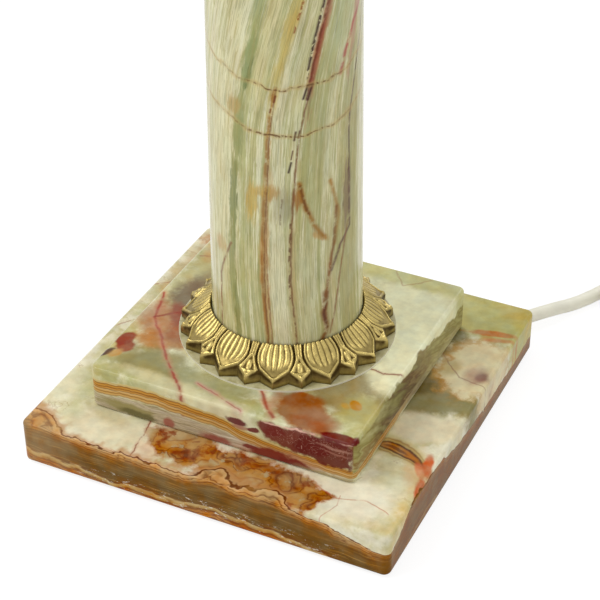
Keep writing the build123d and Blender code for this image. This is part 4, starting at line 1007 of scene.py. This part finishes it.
def brass(name, bright, dark, wear, grain, recess=False, pitted=0.2):
    """Brass that has darkened in its hollows and stayed bright where it is rubbed."""
    made, shader, place = new_material(name, Metallic=1.0, Roughness=grain)
    inputs = {"Place": place, "Wear": wear, "Grain": grain}
    inputs.update({"Bright": colour(*bright), "Dark": colour(*dark)})
    if recess:
        hollow = add_node("ShaderNodeAttribute", {}, made.node_tree, attribute_name="recess")
        inputs["Recess"] = hollow.outputs["Fac"]
    metal = add_node("ShaderNodeGroup", inputs, node_tree=brass_group).outputs
    fill(shader, {"Base Color": metal["Color"], "Roughness": metal["Roughness"]})
    roughen(shader, metal["Height"], pitted, 0.0003)
    return made


cast_brass = brass("cast_brass", (186, 166, 102), (70, 54, 24), 1.0, 0.26, recess=True, pitted=0.5)


def ease(value, low, high):
    """0 below one value and 1 above another, eased between; it may run either way."""
    share = min(1.0, max(0.0, (value - low) / (high - low)))
    return share * share * (3 - 2 * share)


def between(value, stops):
    """Straight-line reading of a table of stops."""
    if value <= stops[0][0]:
        return stops[0][1]
    for (low, first), (high, second) in zip(stops, stops[1:]):
        if value <= high:
            return first + (second - first) * (value - low) / (high - low)
    return stops[-1][1]


# Half angle of a large leaf, in degrees, by distance out from the bore.
LEAF_HALF = (
    (0.0, 10.6), (1.5, 11.4), (3.5, 12.2), (5.5, 12.1),
    (7.5, 11.1), (9.5, 9.3), (10.6, 8.2), (16.0, 8.2),
)


def tip_reach(turn, half, tip):
    """How far a leaf's pointed tip reaches, at an angle from its middle."""
    return NOTCH + (tip - NOTCH) * (1 - min(1, turn / half) ** 0.85)


def leaf_reach(turn):
    """How far out of the bore the collar's outline lies, at an angle from a large leaf."""
    large = tip_reach(abs(turn), LARGE_TIP, COLLAR_REACH)
    return max(large, tip_reach(HALF_LEAF - abs(turn), SMALL_TIP, COLLAR_REACH - SMALL_SHORT))


def leaf_relief(out, turn, bore_r):
    """Height of the chased relief over the plain slope, at a distance out and an angle."""
    radius = bore_r + out
    half = radians(between(out, LEAF_HALF))
    to_edge = (leaf_reach(turn) - out) * 0.8
    if abs(turn) < half:
        inside = min((half - abs(turn)) * radius, to_edge) if out < NOTCH else to_edge
        across = abs(turn) * radius / max(0.4, half * radius - 1.6)
        # A raised border, and inside it a sunk panel with ribs that end in an arc.
        rise = GROUND + BORDER * ease(inside, 0.0, 0.7)
        rise -= PANEL * ease(inside, 1.05, 1.6)
        phase = across * RIBS + 0.5
        rib = max(0.0, cos(pi * (phase % 1.0 - 0.5))) ** 0.7
        low_end = 10.4 - 2.8 * min(1, across) ** 2
        fade = 1 - ease(out, low_end - 1.6, low_end)
        rise += (0.8 * rib * fade + 0.3 * (1 - fade)) * ease(inside, 1.2, 1.8)
        # The tip is pinched up into a beak.
        beak = ease(out, COLLAR_REACH - 2.6, COLLAR_REACH - 0.9)
        return rise + 0.9 * (beak * max(0.0, 1 - abs(turn) * radius / 2.2))
    # A small leaf: reeded stem, two folds that open as a V, the bead, and the beak.
    off = (HALF_LEAF - abs(turn)) * radius
    inside = min((abs(turn) - half) * radius, to_edge) if out < NOTCH else to_edge
    rise = GROUND + 1.2 * ease(inside, 0.0, 0.8)
    stem = 0.35 * cos(2 * pi * off / 1.25) * (1 - ease(out, 4.5, 6.0))
    vee = abs(off - 0.58 * (out - 4.6))
    fold = 0.45 * max(0.0, 1 - vee / 0.6) * ease(out, 4.6, 5.6) * (1 - ease(out, 9.6, 10.6))
    hollow = ease(0.58 * (out - 5.2) - off, 0.0, 0.7) * (1 - ease(out, 10.4, 11.2))
    bead = ((out - 8.9) / 2.1) ** 2 + (off / (1.0 + 0.16 * (out - 6.8))) ** 2
    drop = 1.25 * (1 - bead) ** 0.5 if bead < 1 else 0.0
    lip = 0.5 * ease(out, 10.6, 11.4) * (1 - ease(inside, 1.8, 2.8))
    beak = ease(out, COLLAR_REACH - 2.8, COLLAR_REACH - 1.2) * max(0.0, 1 - off / 2.0)
    return rise + stem + fold - 0.6 * hollow + drop + lip + 0.8 * beak


def leaf_slope(share):
    """Height of the plain slope, from the crest at 0 to the tips at 1."""
    return COLLAR_EDGE + (COLLAR_RISE - 0.6 - COLLAR_EDGE) * (1 - share) ** 1.08


def leaf_sector(bore_r):
    """One thirty-degree slice: a large leaf with half a small one on each side."""
    # Rows: the bore's foot and head, the carved slope, then the rim down to the plate.
    start = CREST * 0.35
    slope_end = SLICE_ROWS + 2
    last = slope_end + RIM_ROWS
    points, hollows, faces = [], [], []
    for row in range(last + 1):
        for column in range(SLICE_TURNS + 1):
            turn = (column / SLICE_TURNS * 2 - 1) * HALF_LEAF
            edge = leaf_reach(turn)
            if row == 0:
                out, z, hollow = 0.0, 0.0, 0.6
            elif row == 1:
                out, z, hollow = 0.0, COLLAR_RISE - 1.6, 0.9
            elif row <= slope_end:
                share = (row - 2) / SLICE_ROWS
                out = start + (edge - start) * share
                level = (out - CREST) / (COLLAR_REACH - CREST)
                lift = leaf_relief(out, turn, bore_r) * ease(share, -0.06, 0.03)
                z = min(COLLAR_RISE, leaf_slope(max(0.0, level)) + 0.4 + lift)
                z = max(z - 0.7 * ease(out, CREST, 0.2), COLLAR_EDGE - 1.2)
                hollow = ease(lift, 0.12, -0.7)
            else:
                drop = (row - slope_end) / RIM_ROWS
                out = edge + (0.12 if drop < 1 else 0.0)
                z = (COLLAR_EDGE - 0.9) * (1 - drop)
                hollow = 0.25 + 0.5 * drop
            radius = bore_r + min(out, COLLAR_REACH)
            points.append((radius * cos(turn), radius * sin(turn), z))
            hollows.append(hollow)
    wide = SLICE_TURNS + 1
    for row in range(last):
        for column in range(SLICE_TURNS):
            corner = row * wide + column
            faces.append((corner, corner + wide, corner + wide + 1, corner + 1))
    for column in range(SLICE_TURNS):
        faces.append((column, column + 1, last * wide + column + 1, last * wide + column))
    return points, faces, hollows


leaf_ring, given, result = new_group(
    "leaf_ring",
    "GeometryNodeTree",
    {"Leaf": "Geometry", "Leaves": "Int", "First Turn": "Float", "Brass": "Material"},
    {"Collar": "Geometry"},
)
places = add_node("GeometryNodePoints", {"Count": given["Leaves"]}).outputs["Points"]
order = add_node("GeometryNodeInputIndex", {}, leaf_ring).outputs["Index"]
turn = arithmetic("MULTIPLY_ADD", order, divided(2 * pi, given["Leaves"]), given["First Turn"])
spin = add_node("FunctionNodeAxisAngleToRotation", {"Axis": (0, 0, 1), "Angle": turn}).outputs[0]
instances = {"Points": places, "Instance": given["Leaf"], "Rotation": spin}
ring = add_node("GeometryNodeInstanceOnPoints", instances).outputs[0]
ring = add_node("GeometryNodeRealizeInstances", {"Geometry": ring}).outputs[0]
ring = add_node("GeometryNodeMergeByDistance", {"Geometry": ring, "Distance": 0.00002}).outputs[0]
brassed = add_node("GeometryNodeSetMaterial", {"Geometry": ring, "Material": given["Brass"]})
fill(result, {"Collar": brassed.outputs[0]})


def repeat(seed, group, values):
    """Runs a Geometry Nodes group on a piece and turns the result into a plain mesh."""
    modifier = seed.modifiers.new("repeat", "NODES")
    modifier.node_group = group
    for item in group.interface.items_tree:
        if item.item_type == "SOCKET" and item.in_out == "INPUT" and item.name in values:
            modifier[item.identifier] = values[item.name]
    graph = bpy.context.evaluated_depsgraph_get()
    mesh = bpy.data.meshes.new_from_object(seed.evaluated_get(graph))
    seed.modifiers.clear()
    old = seed.data
    seed.data = mesh
    mesh.name = seed.name
    bpy.data.meshes.remove(old)


for name, node, bore_r, base_z, upright in (
    ("foot_leaf_collar", "foot_collar", 34.62, 46.3, True),
    ("head_leaf_collar", "head_collar", 30.9, 376.3, False),
):
    points, faces, hollows = leaf_sector(bore_r)
    if not upright:
        points = [(x, y, -z) for x, y, z in points]
        faces = [face[::-1] for face in faces]
    points = [(x, y, base_z + z) for x, y, z in points]
    collar = new_piece(name, points, faces, cast_brass)
    recess = collar.data.attributes.new("recess", "FLOAT", "POINT")
    recess.data.foreach_set("value", hollows)
    first_turn = radians(LEAF_TURN)
    repeat(collar, leaf_ring, {"Leaves": LEAVES, "First Turn": first_turn, "Brass": cast_brass})
    collar.data.polygons.foreach_set("use_smooth", [True] * len(collar.data.polygons))
    collar.data.update()
    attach(collar, "lamp")
    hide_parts(node)

# ---- rod, washer and nuts --------------------------------------------------------
# A hollow zinc-plated steel rod, threaded M10 all along, with a washer and a nut in
# the foot's pocket and a brass lock nut under the lampholder.

zinc, shader, _, dull = clouded(
    "zinc_plate", (196, 196, 190), (150, 148, 138), 3.0, 0.35, 0.7, 4, Metallic=1.0, Roughness=0.35
)
fill(shader, {"Roughness": spread(dull, 0.3, 0.7, 0.28, 0.48)})
finish(zinc, "threaded_rod", "foot_washer", "foot_nut")

# ---- turned brass ----------------------------------------------------------------
# The spun dome, the turned neck and the lock nut between the stone and the
# lampholder, lacquered and lightly tarnished.

turned_brass = brass("turned_brass", (206, 174, 102), (112, 84, 42), 0.7, 0.2, pitted=0.08)
finish(turned_brass, "vase_cap", "neck", "head_nut")

# ---- lampholder ------------------------------------------------------------------
# A brass lampholder for a screw lamp: a domed cap screwed on the rod, a skirt with a
# flange, and a threaded ring that clamps a shade's fitting. Its works are ceramic.

holder_brass = brass("holder_brass", (212, 180, 108), (120, 90, 46), 0.5, 0.18, pitted=0.05)
finish(holder_brass, "holder_cap", "holder_shell", "shade_ring")
contact_brass = brass("contact_brass", (226, 200, 136), (140, 110, 60), 0.5, 0.28, pitted=0.05)
finish(contact_brass, "terminal_screws", "screw_shell", "centre_contact")
steatite = clouded("steatite", (232, 229, 220), (208, 203, 188), 2.5, 0.4, 0.75, 4, Roughness=0.5)
finish(steatite[0], "switch_block", "holder_insert")
bakelite, shader, place = new_material("brown_bakelite", Roughness=0.22)
flow = noise(warp(place, 3.0, 3.0), 2.0)
fill(shader, {"Base Color": lay_over((46, 26, 20), (74, 42, 28), spread(flow, 0.4, 0.7))})
finish(bakelite, "switch_bar")

# ---- plug pins -------------------------------------------------------------------
# Two round pins in the flat moulded plug, nickel-plated and polished, with faint
# darker clouds where the plating has worn.

nickel = clouded(
    "nickel", (214, 210, 200), (176, 170, 156), 1.5, 0.4, 0.7, Metallic=1.0, Roughness=0.2
)
finish(nickel[0], "plug_pins")

# ---- floor and light -------------------------------------------------------------
# A white sweep lit by three soft boxes, as for a catalogue: a large one high on the
# left, a weaker one at the right, and one behind for the edges.


def direct(tree):
    """Whether the camera sees this straight, or in a polished or clear surface."""
    rays = add_node("ShaderNodeLightPath", {}, tree).outputs
    return larger(larger(rays["Is Camera Ray"], rays["Is Glossy Ray"]), rays["Is Transmission Ray"])


white_floor = bpy.data.materials.new("white_floor")
white_floor.use_nodes = True
tree = white_floor.node_tree
tree.nodes.clear()
paper = add_node("ShaderNodeBsdfDiffuse", {"Color": (0.82, 0.82, 0.81, 1)}, tree).outputs[0]
faint = add_node("ShaderNodeBsdfDiffuse", {"Color": (0.26, 0.26, 0.26, 1)}, tree).outputs[0]
glow = add_node("ShaderNodeEmission", {"Color": (1, 1, 1, 1), "Strength": 0.84}, tree).outputs[0]
lit = add_node("ShaderNodeAddShader", {0: faint, 1: glow}).outputs[0]
either = add_node("ShaderNodeMixShader", {0: direct(tree), 1: paper, 2: lit}).outputs[0]
add_node("ShaderNodeOutputMaterial", {"Surface": either})
FAR = 3000
corners = [(-FAR, -FAR, 0), (FAR, -FAR, 0), (FAR, FAR, 0), (-FAR, FAR, 0)]
floor = new_piece("floor", corners, [(0, 1, 2, 3)], white_floor)

world = bpy.data.worlds.new("studio")
bpy.context.scene.world = world
world.use_nodes = True
tree = world.node_tree
tree.nodes.clear()
sky = {"Color": (1, 1, 1, 1), "Strength": spread(direct(tree), 0.0, 1.0, 0.5, 1.0)}
add_node("ShaderNodeOutputWorld", {"Surface": add_node("ShaderNodeBackground", sky).outputs[0]})

for name, place, size, power in (
    ("key_box", (-0.9, -0.7, 1.3), 0.9, 12.0),
    ("fill_box", (1.2, -0.6, 0.9), 0.8, 4.0),
    ("back_box", (0.2, 1.3, 1.1), 0.8, 5.0),
):
    box_data = bpy.data.lights.new(name, "AREA")
    box_data.size = size
    box_data.energy = power
    box = bpy.data.objects.new(name, box_data)
    bpy.context.collection.objects.link(box)
    box.location = place
    box.rotation_euler = (Vector(place) - Vector((0, 0, 0.1))).to_track_quat("Z", "Y").to_euler()
